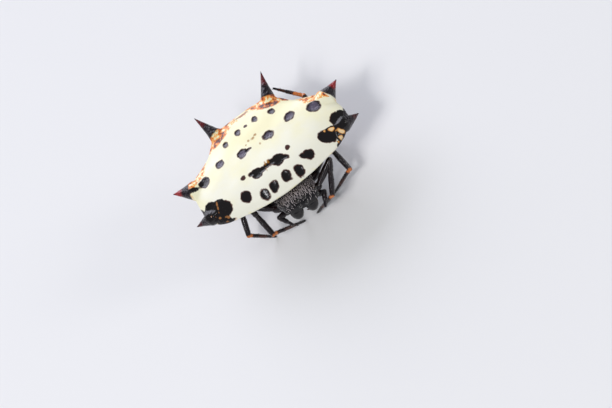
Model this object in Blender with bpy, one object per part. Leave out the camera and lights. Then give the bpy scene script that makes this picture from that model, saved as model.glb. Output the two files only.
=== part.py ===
"""Spiny orb weaver, adult female, life size, standing as a still model.

Places are in millimetres: left, forward and up, measured from the floor below the middle
of the plate's front pits. MM turns them into metres, and forward lies along -Y.
"""
import math

import bmesh
import bpy
import numpy as np
from mathutils import Matrix, Vector
from mathutils.bvhtree import BVHTree

MODEL = "spiny_orb_weaver"
MM = 0.001
SIDES = {"left": 1, "right": -1}

# Colour and roughness of each kind of piece
FINISHES = {
    "abdomen": ((0.86, 0.84, 0.68), 0.3),
    "spinnerets": ((0.03, 0.02, 0.015), 0.45),
    "pedicel": ((0.05, 0.03, 0.02), 0.5),
    "cephalothorax": ((0.02, 0.018, 0.018), 0.4),
    "chelicera": ((0.018, 0.015, 0.015), 0.3),
    "palp": ((0.025, 0.018, 0.015), 0.35),
    "leg": ((0.022, 0.014, 0.012), 0.3),
    "eye": ((0.01, 0.01, 0.012), 0.08),
}
SHARP_ANGLE = math.radians(40)

# Gaps between neighbouring pieces
BODY_GAP = 0.28
EYE_GAP = 0.1

# Abdomen: the hard plate, 13 mm across the tips of its middle spines
SPINE_SPAN = 13.0
PLATE_TOP = 5.2
PLATE_SINK = 0.8
PLATE_UNDERSIDE = 3.65
PLATE_CENTRE = (0.0, -1.75)
PLATE_RIM = (
    (0.0, 1.85, 4.1), (1.6, 1.75, 4.1), (3.2, 1.35, 3.95), (4.4, 0.75, 3.8),
    (5.25, 0.0, 3.7), (5.7, -1.1, 4.0), (5.4, -2.35, 4.25), (4.25, -3.2, 4.35),
    (3.2, -3.7, 4.4), (2.6, -4.6, 4.5), (1.9, -5.12, 4.5), (0.0, -5.22, 4.4))
PLATE_MESH = (64, 20)
PLATE_SHOULDER = (3.4, 0.6)
PLATE_LIP = (5.0, 0.55)
BELLY_PLACE = (0.0, -3.1)
BELLY_SPREAD = (1.9, 1.15)
BELLY_DEPTH = 1.9

# Spines of the left side: root inside the plate, base, tip and radius at the base
SPINES = {
    "front": ((4.3, 0.05, 4.15), (5.3, -0.32, 3.8), (6.42, -0.58, 3.5), 0.55),
    "middle": ((4.3, -2.2, 4.4), (5.3, -2.52, 4.32), (SPINE_SPAN / 2, -3.08, 4.5), 0.58),
    "rear": ((1.7, -4.1, 4.55), (2.08, -4.95, 4.65), (2.67, -6.5, 5.4), 0.5),
}
SPINE_ROOT_SIZE = 0.6
SPINE_TIP_RADIUS = 0.05
SPINE_TAPER = ((0.0, 1.0), (0.22, 0.78), (0.5, 0.48), (0.78, 0.22))

# Pits of the plate: left, forward, half width across and half width along
PITS = {
    "central": (0.82, 0.0, 0.55, 0.34),
    "inner_front": (0.52, 1.34, 0.33, 0.3),
    "middle_front": (1.33, 1.41, 0.34, 0.3),
    "outer_front": (2.43, 0.82, 0.4, 0.36),
    "corner": (4.06, 0.36, 0.52, 0.46),
    "rear_central": (1.04, -2.02, 0.4, 0.33),
    "inner_rear": (0.7, -3.75, 0.2, 0.22),
    "middle_rear": (1.84, -3.55, 0.22, 0.24),
    "outer_rear": (2.74, -2.4, 0.36, 0.33),
    "side_rear": (4.36, -2.05, 0.44, 0.38),
}
PIT_DEPTH = 0.08
PIT_MARGIN = 1.15

# Spinnerets: a collar and three pairs of short cones below the belly
SPINNERET_COLLAR = (0.55, 0.42)
SPINNERET_COLLAR_DEPTH = 0.12
SPINNERET_COLLAR_LIP = 0.7
SPINNERET_PAIRS = ((0.16, 0.3), (0.14, 0.0), (0.17, -0.28))
SPINNERET_SPLAY = 0.6
SPINNERET_RADII = (0.21, 0.195, 0.09)
SPINNERET_DROP = 0.55
SPINNERET_SINK = 0.18
SPINNERET_ROOT = 0.02

# Cephalothorax, in its own frame about its middle: left, forward and up
HEAD_PLACE = (0.17, 0.95, 2.75)
HEAD_ROLL = math.radians(11)
HEAD_TURN = math.radians(4)
HEAD_RIM = (
    (0.0, 1.66, -0.05), (0.8, 1.62, -0.05), (1.2, 1.38, -0.03), (1.36, 0.9, 0.0),
    (1.5, 0.25, 0.0), (1.6, -0.4, 0.0), (1.42, -0.92, 0.0), (0.9, -1.32, 0.0), (0.0, -1.48, 0.0))
HEAD_MESH = (48, 16)
HEAD_TOP = 0.85
THORAX_TOP = 0.4
HEAD_STEP = (-0.2, 0.75)
DENT_DEPTH = 0.08
DENT_PLACE = (0.0, -0.7)
DENT_SPREAD = 0.3
STERNUM = -0.62
MOUTH_RISE = 0.42
MOUTH_STEP = (0.75, 1.2)
HEAD_SHOULDER = (3.2, 0.55)
STERNUM_LIP = (3.0, 0.5)

# Eyes: the place on the head that each one sits nearest to, and its radius
EYES = {
    "front_middle": (0.26, 1.8, 0.35, 0.15),
    "rear_middle": (0.27, 1.75, 0.95, 0.15),
    "front_side": (1.3, 1.5, 0.2, 0.12),
    "rear_side": (1.35, 1.3, 0.62, 0.13),
}
EYE_STAND = 0.35

# Jaws, in the same frame: top, middle and lower end with their radii
JAW_JOINTS = ((0.55, 1.1, -0.05), (0.58, 1.35, -0.5), (0.52, 1.42, -0.95))
JAW_RADII = (0.38, 0.43, 0.3)
JAW_STEPS = 4

# Pedicel, the thin waist between the two halves of the body
WAIST = ((0.14, 0.1, 2.75), (0.06, -1.0, 2.78), (0.0, -2.4, 2.72))
WAIST_RADIUS = 0.3

# Palps: joints from the mouth out
PALP_JOINTS = {
    "left": ((0.75, 1.35, 2.45), (1.15, 1.6, 1.85), (1.75, 1.75, 1.8), (1.3, 2.45, 1.4)),
    "right": ((-0.45, 1.35, 2.5), (-1.0, 1.5, 1.95), (-1.58, 1.6, 2.05), (-1.15, 2.15, 1.35)),
}
PALP_GIRTH = ((0.0, 0.25), (1.0, 0.25), (2.0, 0.25), (2.6, 0.26), (3.0, 0.15))

# Legs: hip inside the body, trochanter, knee, end of the tibia and foot
LEG_JOINTS = {
    "leg_1_left": (
        (1.0, 1.7, 2.45), (1.65, 1.5, 2.3), (3.25, 0.9, 3.1), (2.09, 2.29, 1.7), (0.5, 1.53, 0)),
    "leg_1_right": (
        (-0.7, 1.5, 2.4), (-1.45, 1.1, 2.35), (-2.82, 0.17, 3.05), (-2.56, 1.98, 1.5), (-0.53, 1.48, 0)),
    "leg_2_left": (
        (1.0, 0.9, 2.45), (1.95, 0.6, 2.3), (3.59, -0.64, 2.85), (3.9, 1.21, 1.5), (2.14, 1.0, 0)),
    "leg_2_right": (
        (-0.8, 0.75, 2.4), (-1.75, 0.4, 2.3), (-3.3, -0.7, 2.85), (-3.98, 0.92, 1.5), (-2.7, 1.17, 0)),
    "leg_3_left": (
        (1.0, 0.3, 2.45), (1.85, -0.1, 2.2), (2.95, -1.1, 2.25), (3.7, -2.1, 1.4), (3.5, -2.7, 0)),
    "leg_3_right": (
        (-0.8, 0.2, 2.4), (-1.75, -0.2, 2.25), (-2.95, -1.2, 2.25), (-3.6, -2.1, 1.4), (-3.4, -2.7, 0)),
    "leg_4_left": (
        (0.8, -0.2, 2.45), (1.5, -0.65, 2.35), (4.15, -2.45, 2.6), (4.02, -4.68, 3.1), (2.64, -6.15, 3.7)),
    "leg_4_right": (
        (-0.7, -0.2, 2.45), (-1.4, -0.7, 2.4), (-3.4, -2.5, 2.75), (-3.2, -4.1, 1.9), (-2.7, -4.6, 0)),
}
LEG_GIRTH = (
    (0.0, 0.27), (1.0, 0.27), (1.5, 0.29), (1.9, 0.26), (2.2, 0.27), (2.6, 0.28),
    (2.95, 0.25), (3.05, 0.25), (3.5, 0.24), (4.0, 0.15))
BELOW_FLOOR = 0.12

# How bends and straight runs of a limb are divided
BEND_RADIUS = 0.34
BEND_LEAST = 0.1
BEND_SHARE = 0.42
BEND_STEPS = 4
RUN_LEAST = 0.35
RUN_STEPS = 4

# Fineness of the meshes
TUBE_RESOLUTION = 2
BALL_MESH = (12, 8)
SLOPE_STEP = 0.05
CAP_WELD = 0.002


def spot(place):
    """A place in metres from millimetres left, forward and up."""
    return Vector((place[0], -place[1], place[2])) * MM


def mirrored(place, side):
    """A place of the left side, or its mirror image on the right."""
    return (place[0] * side,) + tuple(place[1:])


def make_material(name, colour, roughness):
    material = bpy.data.materials.new(name)
    material.use_nodes = True
    shader = material.node_tree.nodes["Principled BSDF"]
    shader.inputs["Base Color"].default_value = (*colour, 1.0)
    shader.inputs["Roughness"].default_value = roughness
    return material


def add_object(name, mesh, collection):
    thing = bpy.data.objects.new(name, mesh)
    collection.objects.link(thing)
    return thing


def as_cutter(thing):
    thing.hide_render = True
    thing.display_type = "WIRE"
    return thing


def smooth_between(low, high, value):
    """0 below low, 1 above high and a smooth step between them."""
    share = min(max((value - low) / (high - low), 0.0), 1.0)
    return share * share * (3.0 - 2.0 * share)


def curve_point(before, start, end, after, share):
    """A point of the smooth curve that runs through start and end."""
    steps = (
        2.0 * start,
        (end - before) * share,
        (2.0 * before - 5.0 * start + 4.0 * end - after) * share ** 2,
        (3.0 * start - before - 3.0 * end + after) * share ** 3)
    return 0.5 * (steps[0] + steps[1] + steps[2] + steps[3])


class Body:
    """A rounded body: a smooth rim in plan, with a top and an underside that meet along it."""

    STEPS = 8

    def __init__(self, rim, centre, top, underside, shoulder, lip):
        self.centre = Vector(centre)
        self.top = top
        self.underside = underside
        self.shoulder = shoulder
        self.lip = lip
        loop = [Vector(place) for place in rim]
        loop += [Vector(mirrored(place, -1)) for place in rim[-2:0:-1]]
        count = len(loop)
        rows = []
        for index in range(count):
            corners = [loop[(index + shift) % count] for shift in (-1, 0, 1, 2)]
            for step in range(self.STEPS):
                place = curve_point(*corners, step / self.STEPS)
                arm = place.xy - self.centre
                rows.append((math.atan2(arm.x, arm.y) % math.tau, arm.length, place.z))
        self.angles, self.reaches, self.heights = np.array(sorted(rows)).T

    def along_rim(self, angle):
        """Distance and height of the rim in one direction from the centre."""
        reach = np.interp(angle, self.angles, self.reaches, period=math.tau)
        height = np.interp(angle, self.angles, self.heights, period=math.tau)
        return float(reach), float(height)

    def height(self, left, forward, upper=True):
        """Height of the surface over one place in plan."""
        arm = Vector((left, forward)) - self.centre
        reach, rim_height = self.along_rim(math.atan2(arm.x, arm.y))
        share = min(arm.length / reach, 1.0)
        power, edge = self.shoulder if upper else self.lip
        level = self.top(left, forward) if upper else self.underside(left, forward)
        return rim_height + (level - rim_height) * (1.0 - share ** power) ** edge

    def normal(self, left, forward):
        """Upward direction of the top surface over one place in plan."""
        across = self.height(left + SLOPE_STEP, forward) - self.height(left - SLOPE_STEP, forward)
        along = self.height(left, forward + SLOPE_STEP) - self.height(left, forward - SLOPE_STEP)
        return Vector((-across, along, 2.0 * SLOPE_STEP)).normalized()

    def mesh(self, name, segments):
        columns, rings = segments
        shape = bmesh.new()
        bmesh.ops.create_uvsphere(shape, u_segments=columns, v_segments=rings, radius=1.0)
        for vert in shape.verts:
            share = min(vert.co.xy.length, 1.0)
            angle = math.atan2(vert.co.x, -vert.co.y)
            reach, _ = self.along_rim(angle)
            left = self.centre.x + math.sin(angle) * reach * share
            forward = self.centre.y + math.cos(angle) * reach * share
            vert.co = spot((left, forward, self.height(left, forward, vert.co.z >= 0.0)))
        bmesh.ops.recalc_face_normals(shape, faces=shape.faces)
        mesh = bpy.data.meshes.new(name)
        shape.to_mesh(mesh)
        shape.free()
        return mesh


def plate_height(left, forward):
    """Level of the plate's top, which sinks a little towards its two sides."""
    return PLATE_TOP - PLATE_SINK * (left / SPINE_SPAN) ** 2


def belly_height(left, forward):
    """Underside of the plate with the belly that hangs below it."""
    across = (left - BELLY_PLACE[0]) / BELLY_SPREAD[0]
    along = (forward - BELLY_PLACE[1]) / BELLY_SPREAD[1]
    return PLATE_UNDERSIDE - BELLY_DEPTH * math.exp(-0.5 * (across ** 2 + along ** 2))


def carapace_height(left, forward):
    """Top of the carapace: a low thorax with a shallow dent, and a raised head."""
    rise = smooth_between(*HEAD_STEP, forward)
    offset = (Vector((left, forward)) - Vector(DENT_PLACE)).length
    dent = DENT_DEPTH * math.exp(-((offset / DENT_SPREAD) ** 2))
    return THORAX_TOP + (HEAD_TOP - THORAX_TOP) * rise - dent


def sternum_height(left, forward):
    """Underside of the cephalothorax, which rises in front to make room for the jaws."""
    return STERNUM + MOUTH_RISE * smooth_between(*MOUTH_STEP, forward)


PLATE = Body(PLATE_RIM, PLATE_CENTRE, plate_height, belly_height, PLATE_SHOULDER, PLATE_LIP)
CARAPACE = Body(HEAD_RIM, (0.0, 0.0), carapace_height, sternum_height, HEAD_SHOULDER, STERNUM_LIP)


def rounded_path(corners):
    """Points from end to end with each inner corner rounded, and each point's station."""
    path = [(corners[0], 0.0)]
    for index in range(1, len(corners) - 1):
        corner = corners[index]
        inward = corners[index - 1] - corner
        outward = corners[index + 1] - corner
        reach = BEND_RADIUS * MM / math.tan(inward.angle(outward) / 2.0)
        reach = max(reach, BEND_LEAST * MM)
        reach = min(reach, BEND_SHARE * inward.length, BEND_SHARE * outward.length)
        start = corner + inward.normalized() * reach
        end = corner + outward.normalized() * reach
        for step in range(BEND_STEPS + 1):
            share = step / BEND_STEPS
            place = start.lerp(corner, share).lerp(corner.lerp(end, share), share)
            fraction_in = reach / inward.length * (share - 0.5)
            path.append((place, index + fraction_in))
    path.append((corners[-1], float(len(corners) - 1)))
    return path


def filled_path(path):
    """The same path with points added along its straight runs."""
    filled = [path[0]]
    for (start, first), (end, last) in zip(path, path[1:]):
        steps = RUN_STEPS if (end - start).length > RUN_LEAST * MM else 1
        for step in range(1, steps + 1):
            share = step / steps
            filled.append((start.lerp(end, share), first + (last - first) * share))
    return filled


def tube_object(name, path, collection):
    """A closed tube through (place, radius) pairs, as a mesh object."""
    curve = bpy.data.curves.new(name, "CURVE")
    curve.dimensions = "3D"
    curve.bevel_depth = 1.0
    curve.bevel_resolution = TUBE_RESOLUTION
    curve.use_fill_caps = True
    spline = curve.splines.new("POLY")
    spline.points.add(len(path) - 1)
    for knot, (place, radius) in zip(spline.points, path):
        knot.co = (*place, 1.0)
        knot.radius = radius * MM
    thing = add_object(name, curve, collection)
    mesh = bpy.data.meshes.new_from_object(evaluated(thing))
    bpy.data.objects.remove(thing)
    bpy.data.curves.remove(curve)
    weld_caps(mesh)
    return add_object(name, mesh, collection)


def evaluated(thing):
    bpy.context.view_layer.update()
    return thing.evaluated_get(bpy.context.evaluated_depsgraph_get())


def weld_caps(mesh):
    shape = bmesh.new()
    shape.from_mesh(mesh)
    bmesh.ops.remove_doubles(shape, verts=shape.verts, dist=CAP_WELD * MM)
    bmesh.ops.recalc_face_normals(shape, faces=shape.faces)
    shape.to_mesh(mesh)
    shape.free()


def jointed_tube(name, joints, girth, collection):
    """A limb: rounded bends at its joints, and a radius read along its length."""
    stations, radii = zip(*girth)
    path = filled_path(rounded_path([spot(joint) for joint in joints]))
    path = [(place, float(np.interp(station, stations, radii))) for place, station in path]
    return tube_object(name, path, collection)


def grown_copy(thing, distance, collection):
    """A copy pushed out along its normals, which marks the space to keep clear of it."""
    shape = bmesh.new()
    shape.from_mesh(thing.data)
    shape.normal_update()
    pushes = [(vert, vert.co + vert.normal * distance * MM) for vert in shape.verts]
    for vert, place in pushes:
        vert.co = place
    mesh = bpy.data.meshes.new(thing.name + "_clearance")
    shape.to_mesh(mesh)
    shape.free()
    clearance = as_cutter(add_object(mesh.name, mesh, collection))
    clearance.matrix_world = thing.matrix_world.copy()
    return clearance


def largest_surface(mesh):
    """Keep only the closed surface with the most area."""
    shape = bmesh.new()
    shape.from_mesh(mesh)
    unseen = set(shape.faces)
    best_area = 0.0
    best = set()
    while unseen:
        island = {unseen.pop()}
        edge_of_island = list(island)
        while edge_of_island:
            face = edge_of_island.pop()
            near = {other for edge in face.edges for other in edge.link_faces} & unseen
            unseen -= near
            island |= near
            edge_of_island.extend(near)
        area = sum(face.calc_area() for face in island)
        if area > best_area:
            best_area = area
            best = island
    scraps = [face for face in shape.faces if face not in best]
    bmesh.ops.delete(shape, geom=scraps, context="FACES")
    shape.to_mesh(mesh)
    shape.free()


def boolean_with(thing, others, operation):
    """Apply one Boolean with a collection of closed meshes, which are then removed."""
    group = bpy.data.collections.new(thing.name + "_operands")
    bpy.context.scene.collection.children.link(group)
    for other in others:
        group.objects.link(other)
    modifier = thing.modifiers.new(operation.lower(), "BOOLEAN")
    modifier.operation = operation
    modifier.operand_type = "COLLECTION"
    modifier.collection = group
    mesh = bpy.data.meshes.new_from_object(evaluated(thing))
    thing.modifiers.clear()
    thing.data = mesh
    largest_surface(mesh)
    for other in others:
        bpy.data.objects.remove(other)
    bpy.data.collections.remove(group)


def cut_clear(thing, keep_clear):
    """Cut a piece back from the spaces that its neighbours keep."""
    for clearance in keep_clear:
        modifier = thing.modifiers.new(clearance.name, "BOOLEAN")
        modifier.operation = "DIFFERENCE"
        modifier.object = clearance
    mesh = bpy.data.meshes.new_from_object(evaluated(thing))
    thing.modifiers.clear()
    thing.data = mesh
    largest_surface(mesh)


def cut_flat(thing):
    """Cut a foot off level with the floor."""
    shape = bmesh.new()
    shape.from_mesh(thing.data)
    everything = shape.verts[:] + shape.edges[:] + shape.faces[:]
    cut = bmesh.ops.bisect_plane(
        shape, geom=everything, plane_co=(0, 0, 0), plane_no=(0, 0, -1), clear_outer=True)
    rim = [piece for piece in cut["geom_cut"] if isinstance(piece, bmesh.types.BMEdge)]
    bmesh.ops.holes_fill(shape, edges=rim)
    bmesh.ops.recalc_face_normals(shape, faces=shape.faces)
    shape.to_mesh(thing.data)
    shape.free()


def ellipsoid(name, place, normal, half_sizes, collection):
    """A small ellipsoid that stands on a surface with this normal."""
    mesh = bpy.data.meshes.new(name)
    shape = bmesh.new()
    columns, rings = BALL_MESH
    bmesh.ops.create_uvsphere(shape, u_segments=columns, v_segments=rings, radius=1.0)
    turn = normal.to_track_quat("Z", "Y").to_matrix().to_4x4()
    size = Matrix.Diagonal((*half_sizes, 1.0))
    bmesh.ops.transform(shape, matrix=turn @ size @ Matrix.Scale(MM, 4), verts=shape.verts)
    shape.to_mesh(mesh)
    shape.free()
    thing = add_object(name, mesh, collection)
    thing.location = place
    return thing


def spine_object(name, places, radius, collection):
    """One spine: a cone with a full base, rooted well inside the plate."""
    root, base, tip = [spot(place) for place in places]
    path = [(root, radius * SPINE_ROOT_SIZE)]
    path += [(base.lerp(tip, share), radius * size) for share, size in SPINE_TAPER]
    path.append((tip, SPINE_TIP_RADIUS))
    return tube_object(name, path, collection)


def finish_abdomen(abdomen, collection):
    """Join six spines to the plate and press rows of shallow pits into it."""
    spines = []
    pits = []
    for side_name, side in SIDES.items():
        for name, (*places, radius) in SPINES.items():
            places = [mirrored(place, side) for place in places]
            spines.append(spine_object(f"spine_{name}_{side_name}", places, radius, collection))
        for name, (left, forward, across, along) in PITS.items():
            normal = PLATE.normal(left * side, forward)
            surface = spot((left * side, forward, PLATE.height(left, forward)))
            sizes = (across * PIT_MARGIN, along * PIT_MARGIN, PIT_DEPTH * 2.0)
            place = surface + normal * PIT_DEPTH * MM
            pits.append(ellipsoid(f"pit_{name}_{side_name}", place, normal, sizes, collection))
    boolean_with(abdomen, spines, "UNION")
    boolean_with(abdomen, pits, "DIFFERENCE")


def head_frame():
    """Where the cephalothorax sits, and how it leans."""
    turn = Matrix.Rotation(HEAD_TURN, 4, "Z")
    return Matrix.Translation(spot(HEAD_PLACE)) @ turn @ Matrix.Rotation(HEAD_ROLL, 4, "Y")


def build_eyes(head, frame, collection):
    """Eight eyes, each standing a little proud of a socket just clear of it."""
    surface = BVHTree.FromObject(head, bpy.context.evaluated_depsgraph_get())
    sockets = []
    for side_name, side in SIDES.items():
        for name, (*aim, radius) in EYES.items():
            place, normal, _, _ = surface.find_nearest(frame @ spot(mirrored(aim, side)))
            place += normal * radius * EYE_STAND * MM
            ellipsoid(f"eye_{name}_{side_name}", place, normal, [radius] * 3, collection)
            sockets.append(ellipsoid("socket", place, normal, [radius + EYE_GAP] * 3, collection))
    boolean_with(head, sockets, "DIFFERENCE")


def build_jaw(name, side, frame, collection):
    """One basal jaw segment, full in the middle and narrower below."""
    joints = [frame @ spot(mirrored(place, side)) for place in JAW_JOINTS]
    path = []
    for index in range(len(joints) - 1):
        widening = JAW_RADII[index + 1] - JAW_RADII[index]
        for step in range(JAW_STEPS):
            share = step / JAW_STEPS
            path.append((joints[index].lerp(joints[index + 1], share), JAW_RADII[index] + widening * share))
    path.append((joints[-1], JAW_RADII[-1]))
    return tube_object(name, path, collection)


def build_leg(name, joints, collection):
    *upper, foot = joints
    if foot[2] == 0:
        foot = (foot[0], foot[1], -BELOW_FLOOR)
    leg = jointed_tube(name, (*upper, foot), LEG_GIRTH, collection)
    cut_flat(leg)
    return leg


def build_spinnerets(collection):
    """The collar round the spinnerets with three pairs of cones."""
    left, forward = BELLY_PLACE
    level = belly_height(left, forward)
    below = level - BODY_GAP
    upper, lower = SPINNERET_COLLAR
    top = spot((left, forward, level + SPINNERET_SINK))
    low = spot((left, forward, below - SPINNERET_COLLAR_DEPTH))
    collar_path = [(top, upper), (top.lerp(low, SPINNERET_COLLAR_LIP), upper), (low, lower)]
    collar = tube_object("spinnerets", collar_path, collection)
    cones = []
    for side_name, side in SIDES.items():
        for across, along in SPINNERET_PAIRS:
            start = spot((left + across * side, forward + along * SPINNERET_SPLAY, below + SPINNERET_ROOT))
            end = spot((left + across * side, forward + along, below - SPINNERET_DROP))
            path = list(zip((start, start.lerp(end, 0.5), end), SPINNERET_RADII))
            cones.append(tube_object(f"cone_{side_name}", path, collection))
    boolean_with(collar, cones, "UNION")
    return collar


def colour_parts(collection):
    """Give every piece a material of its own, by what it is."""
    for thing in collection.objects:
        kind = thing.name.split("_")[0]
        colour, roughness = FINISHES[kind]
        thing.data.materials.clear()
        thing.data.materials.append(make_material(thing.name, colour, roughness))
        thing.data.shade_smooth()
        thing.data.set_sharp_from_angle(angle=SHARP_ANGLE)


def centre_on_floor(collection):
    """Hang every piece from one empty that puts the middle of the model over the origin."""
    corners = []
    for thing in collection.objects:
        corners += [thing.matrix_world @ Vector(corner) for corner in thing.bound_box]
    middle = [(min(values) + max(values)) / 2.0 for values in zip(*corners)]
    holder = bpy.data.objects.new(MODEL + "_holder", None)
    bpy.context.scene.collection.objects.link(holder)
    for thing in collection.objects:
        thing.parent = holder
    holder.location = (-middle[0], -middle[1], 0.0)


def main():
    for thing in list(bpy.data.objects):
        bpy.data.objects.remove(thing)
    parts = bpy.data.collections.new(MODEL)
    cutters = bpy.data.collections.new("cutters")
    for collection in (parts, cutters):
        bpy.context.scene.collection.children.link(collection)

    frame = head_frame()
    abdomen = add_object("abdomen", PLATE.mesh("abdomen", PLATE_MESH), parts)
    cephalothorax = add_object("cephalothorax", CARAPACE.mesh("cephalothorax", HEAD_MESH), parts)
    cephalothorax.data.transform(frame)
    plate_clearance = grown_copy(abdomen, BODY_GAP, cutters)
    body_clearance = grown_copy(cephalothorax, BODY_GAP, cutters)
    finish_abdomen(abdomen, parts)
    build_eyes(cephalothorax, frame, parts)

    spinnerets = build_spinnerets(parts)
    cut_clear(spinnerets, [plate_clearance])
    waist = tube_object("pedicel", [(spot(place), WAIST_RADIUS) for place in WAIST], parts)
    cut_clear(waist, [body_clearance, plate_clearance])
    for side_name, side in SIDES.items():
        jaw = build_jaw(f"chelicera_{side_name}", side, frame, parts)
        palp = jointed_tube(f"palp_{side_name}", PALP_JOINTS[side_name], PALP_GIRTH, parts)
        cut_clear(jaw, [body_clearance])
        cut_clear(palp, [body_clearance])
    for name, joints in LEG_JOINTS.items():
        leg = build_leg(name, joints, parts)
        cut_clear(leg, [body_clearance])
    colour_parts(parts)
    centre_on_floor(parts)


main()
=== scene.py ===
"""Spiny orb weaver, adult female: the looks of a life-size model.

The animal's places are in millimetres: left, forward and up, measured from the floor below the
middle of the plate's front pits. Pieces are modelled in millimetres with +X to the left and -Y
forward, and settle() puts each finished one into the frame in metres.
"""

import math

import bpy
import numpy as np
from mathutils import Matrix, Vector, noise


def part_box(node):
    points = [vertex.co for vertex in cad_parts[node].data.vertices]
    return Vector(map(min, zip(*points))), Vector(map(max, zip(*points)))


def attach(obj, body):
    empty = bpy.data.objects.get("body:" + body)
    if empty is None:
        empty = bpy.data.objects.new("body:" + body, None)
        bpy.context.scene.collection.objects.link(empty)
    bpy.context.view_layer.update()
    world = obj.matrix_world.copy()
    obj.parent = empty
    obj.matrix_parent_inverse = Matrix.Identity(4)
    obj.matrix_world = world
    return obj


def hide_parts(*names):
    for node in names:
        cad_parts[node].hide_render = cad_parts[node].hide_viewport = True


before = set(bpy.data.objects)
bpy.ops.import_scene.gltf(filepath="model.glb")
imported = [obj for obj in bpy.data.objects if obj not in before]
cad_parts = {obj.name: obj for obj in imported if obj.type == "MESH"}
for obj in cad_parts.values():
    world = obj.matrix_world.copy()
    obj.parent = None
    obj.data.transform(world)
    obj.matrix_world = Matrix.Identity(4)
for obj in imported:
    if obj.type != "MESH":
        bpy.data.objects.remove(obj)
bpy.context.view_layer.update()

bl_info = {
    "name": "Spiny Orb Weaver",
    "version": (1, 0, 0),
    "blender": (4, 5, 0),
    "location": "View3D > Sidebar > Orb Weaver",
    "description": "Builds a life-size spiny orb weaver round its solids",
    "category": "Add Mesh",
}

MM = 0.001
SIDES = {"left": 1, "right": -1}
BODY = "root"

# Plate: half of its rim (left, forward, up), from the front middle to the rear middle
PLATE_FRONT = 1.85
PLATE_RIM = (
    (0.0, PLATE_FRONT, 4.1), (1.6, 1.75, 4.1), (3.2, 1.35, 3.95), (4.5, 0.9, 3.8),
    (5.34, 0.12, 3.7), (5.72, -1.1, 4.0), (5.42, -2.35, 4.25), (4.9, -3.08, 4.33),
    (4.3, -3.4, 4.36), (3.35, -3.88, 4.45), (2.68, -4.6, 4.58), (1.9, -5.12, 4.68), (0.0, -5.22, 4.66))
PLATE_CENTRE = (0.0, -1.75)
PLATE_SINK = 0.8
PLATE_UNDERSIDE = 3.65
PLATE_SHOULDER = (3.4, 0.6)
PLATE_LIP = (5.0, 0.55)
PLATE_MESH = (192, 80)
BELLY_PLACE = (0.0, -3.1)
BELLY_SPREAD = (1.9, 1.15)
BELLY_DEPTH = 1.9
PLATE_VOXEL = 0.048
PLATE_SMOOTHING = 6
FILLET_SMOOTHING = 40
FILLET_PLACE = -0.02
FILLET_REACH = 0.3
LEAST_FILLET = 0.05

# Uneven surfaces: height of the waves, their spacing, and a seed
PLATE_WAVES = (0.025, 1.1, 3.0)
SPINE_GRAIN = (0.014, 0.2, 7.0)
CARAPACE_WAVES = (0.02, 0.45, 5.0)

# Upper edge of the rear rim: degrees round from the front, and how far out towards the rim
CREST = (
    (90, 1.05), (93, 1.0), (97, 0.87), (103, 0.78), (108, 0.82), (114, 0.91), (122, 0.965),
    (130, 0.92), (136, 0.86), (142, 0.785), (150, 0.785), (158, 0.8), (168, 0.82), (180, 0.82))
CREST_STEP = 0.07
CREST_EDGE = (-0.01, 0.07)
CREST_FORWARD = (-3.0, -3.8)

# Spines of the left side: root, base, tip, radius at the base, and how red the outer half is
SPINES = {
    "front": ((4.3, 0.05, 4.15), (5.3, -0.32, 3.8), (6.42, -0.58, 3.5), 0.6, 0.15),
    "middle": ((4.3, -2.2, 4.4), (5.3, -2.5, 4.32), (6.5, -3.08, 4.5), 0.68, 1.0),
    "rear": ((1.7, -4.1, 4.55), (2.08, -4.95, 4.65), (2.67, -6.58, 5.4), 0.52, 0.35),
}
SPINE_TAPER = (
    (0.0, 1.0), (0.1, 0.87), (0.22, 0.73), (0.36, 0.58), (0.5, 0.45),
    (0.65, 0.32), (0.8, 0.19), (0.92, 0.09), (1.0, 0.035))
SPINE_SIDES = 28
SPINE_ROOT = 0.6

# Shares of a spine's length where its sharpening starts, is full, and narrows to the point
SHARP_FROM = 0.12
SHARP_FULL = 0.4
SHARP_POINT = 0.985

# Both side margins lie a little to the left and forward of an even plate's: where, how widely, how far
LEAN_PLACE = (5.6, -1.1)
LEAN_SPREAD = (0.9, 1.1)
LEAN = (0.2, 0.13)

# Pits of the plate: left, forward, half width, half length and turn in degrees
PITS = (
    (4.08, 0.34, 0.54, 0.45, 22), (-3.9, 0.4, 0.44, 0.45, 0),
    (5.14, -0.5, 0.33, 0.46, 31), (-4.87, -0.32, 0.4, 0.42, 0),
    (2.47, 0.85, 0.35, 0.28, 8), (2.16, 0.73, 0.22, 0.13, 28), (-2.4, 0.79, 0.34, 0.36, 0),
    (1.41, 1.38, 0.3, 0.31, 0), (-1.24, 1.36, 0.33, 0.31, 20),
    (0.54, 1.25, 0.3, 0.33, -10), (-0.49, 1.33, 0.34, 0.27, -30),
    (0.66, 0.06, 0.44, 0.39, 10), (1.05, 0.15, 0.3, 0.15, 25), (0.26, -0.08, 0.26, 0.19, 30),
    (-0.96, -0.03, 0.39, 0.36, 8), (-1.32, -0.2, 0.24, 0.14, 30), (-0.56, 0.0, 0.28, 0.19, 10),
    (-0.13, -0.03, 0.24, 0.13, 20),
    (0.94, -2.04, 0.39, 0.3, 0), (-1.14, -1.99, 0.36, 0.34, -12), (-0.82, -1.94, 0.26, 0.1, -8),
    (4.39, -2.03, 0.46, 0.4, 20), (-4.26, -2.07, 0.38, 0.36, 0),
    (2.71, -2.39, 0.36, 0.3, -15), (-2.76, -2.4, 0.3, 0.29, 0),
    (1.86, -3.58, 0.21, 0.23, 0), (-1.81, -3.51, 0.21, 0.22, 0),
    (0.69, -3.79, 0.19, 0.24, 0), (-0.72, -3.7, 0.19, 0.24, 0),
)

# Lip round a pit: height against the depth, place against the oval, and width
PIT_LIP = (0.2, 1.15, 0.16)

# Pits fade with the way a surface faces, and towards the spines
PITS_FACING = (0.2, 0.6)
PITS_END = (0.1, -0.15)

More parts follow.
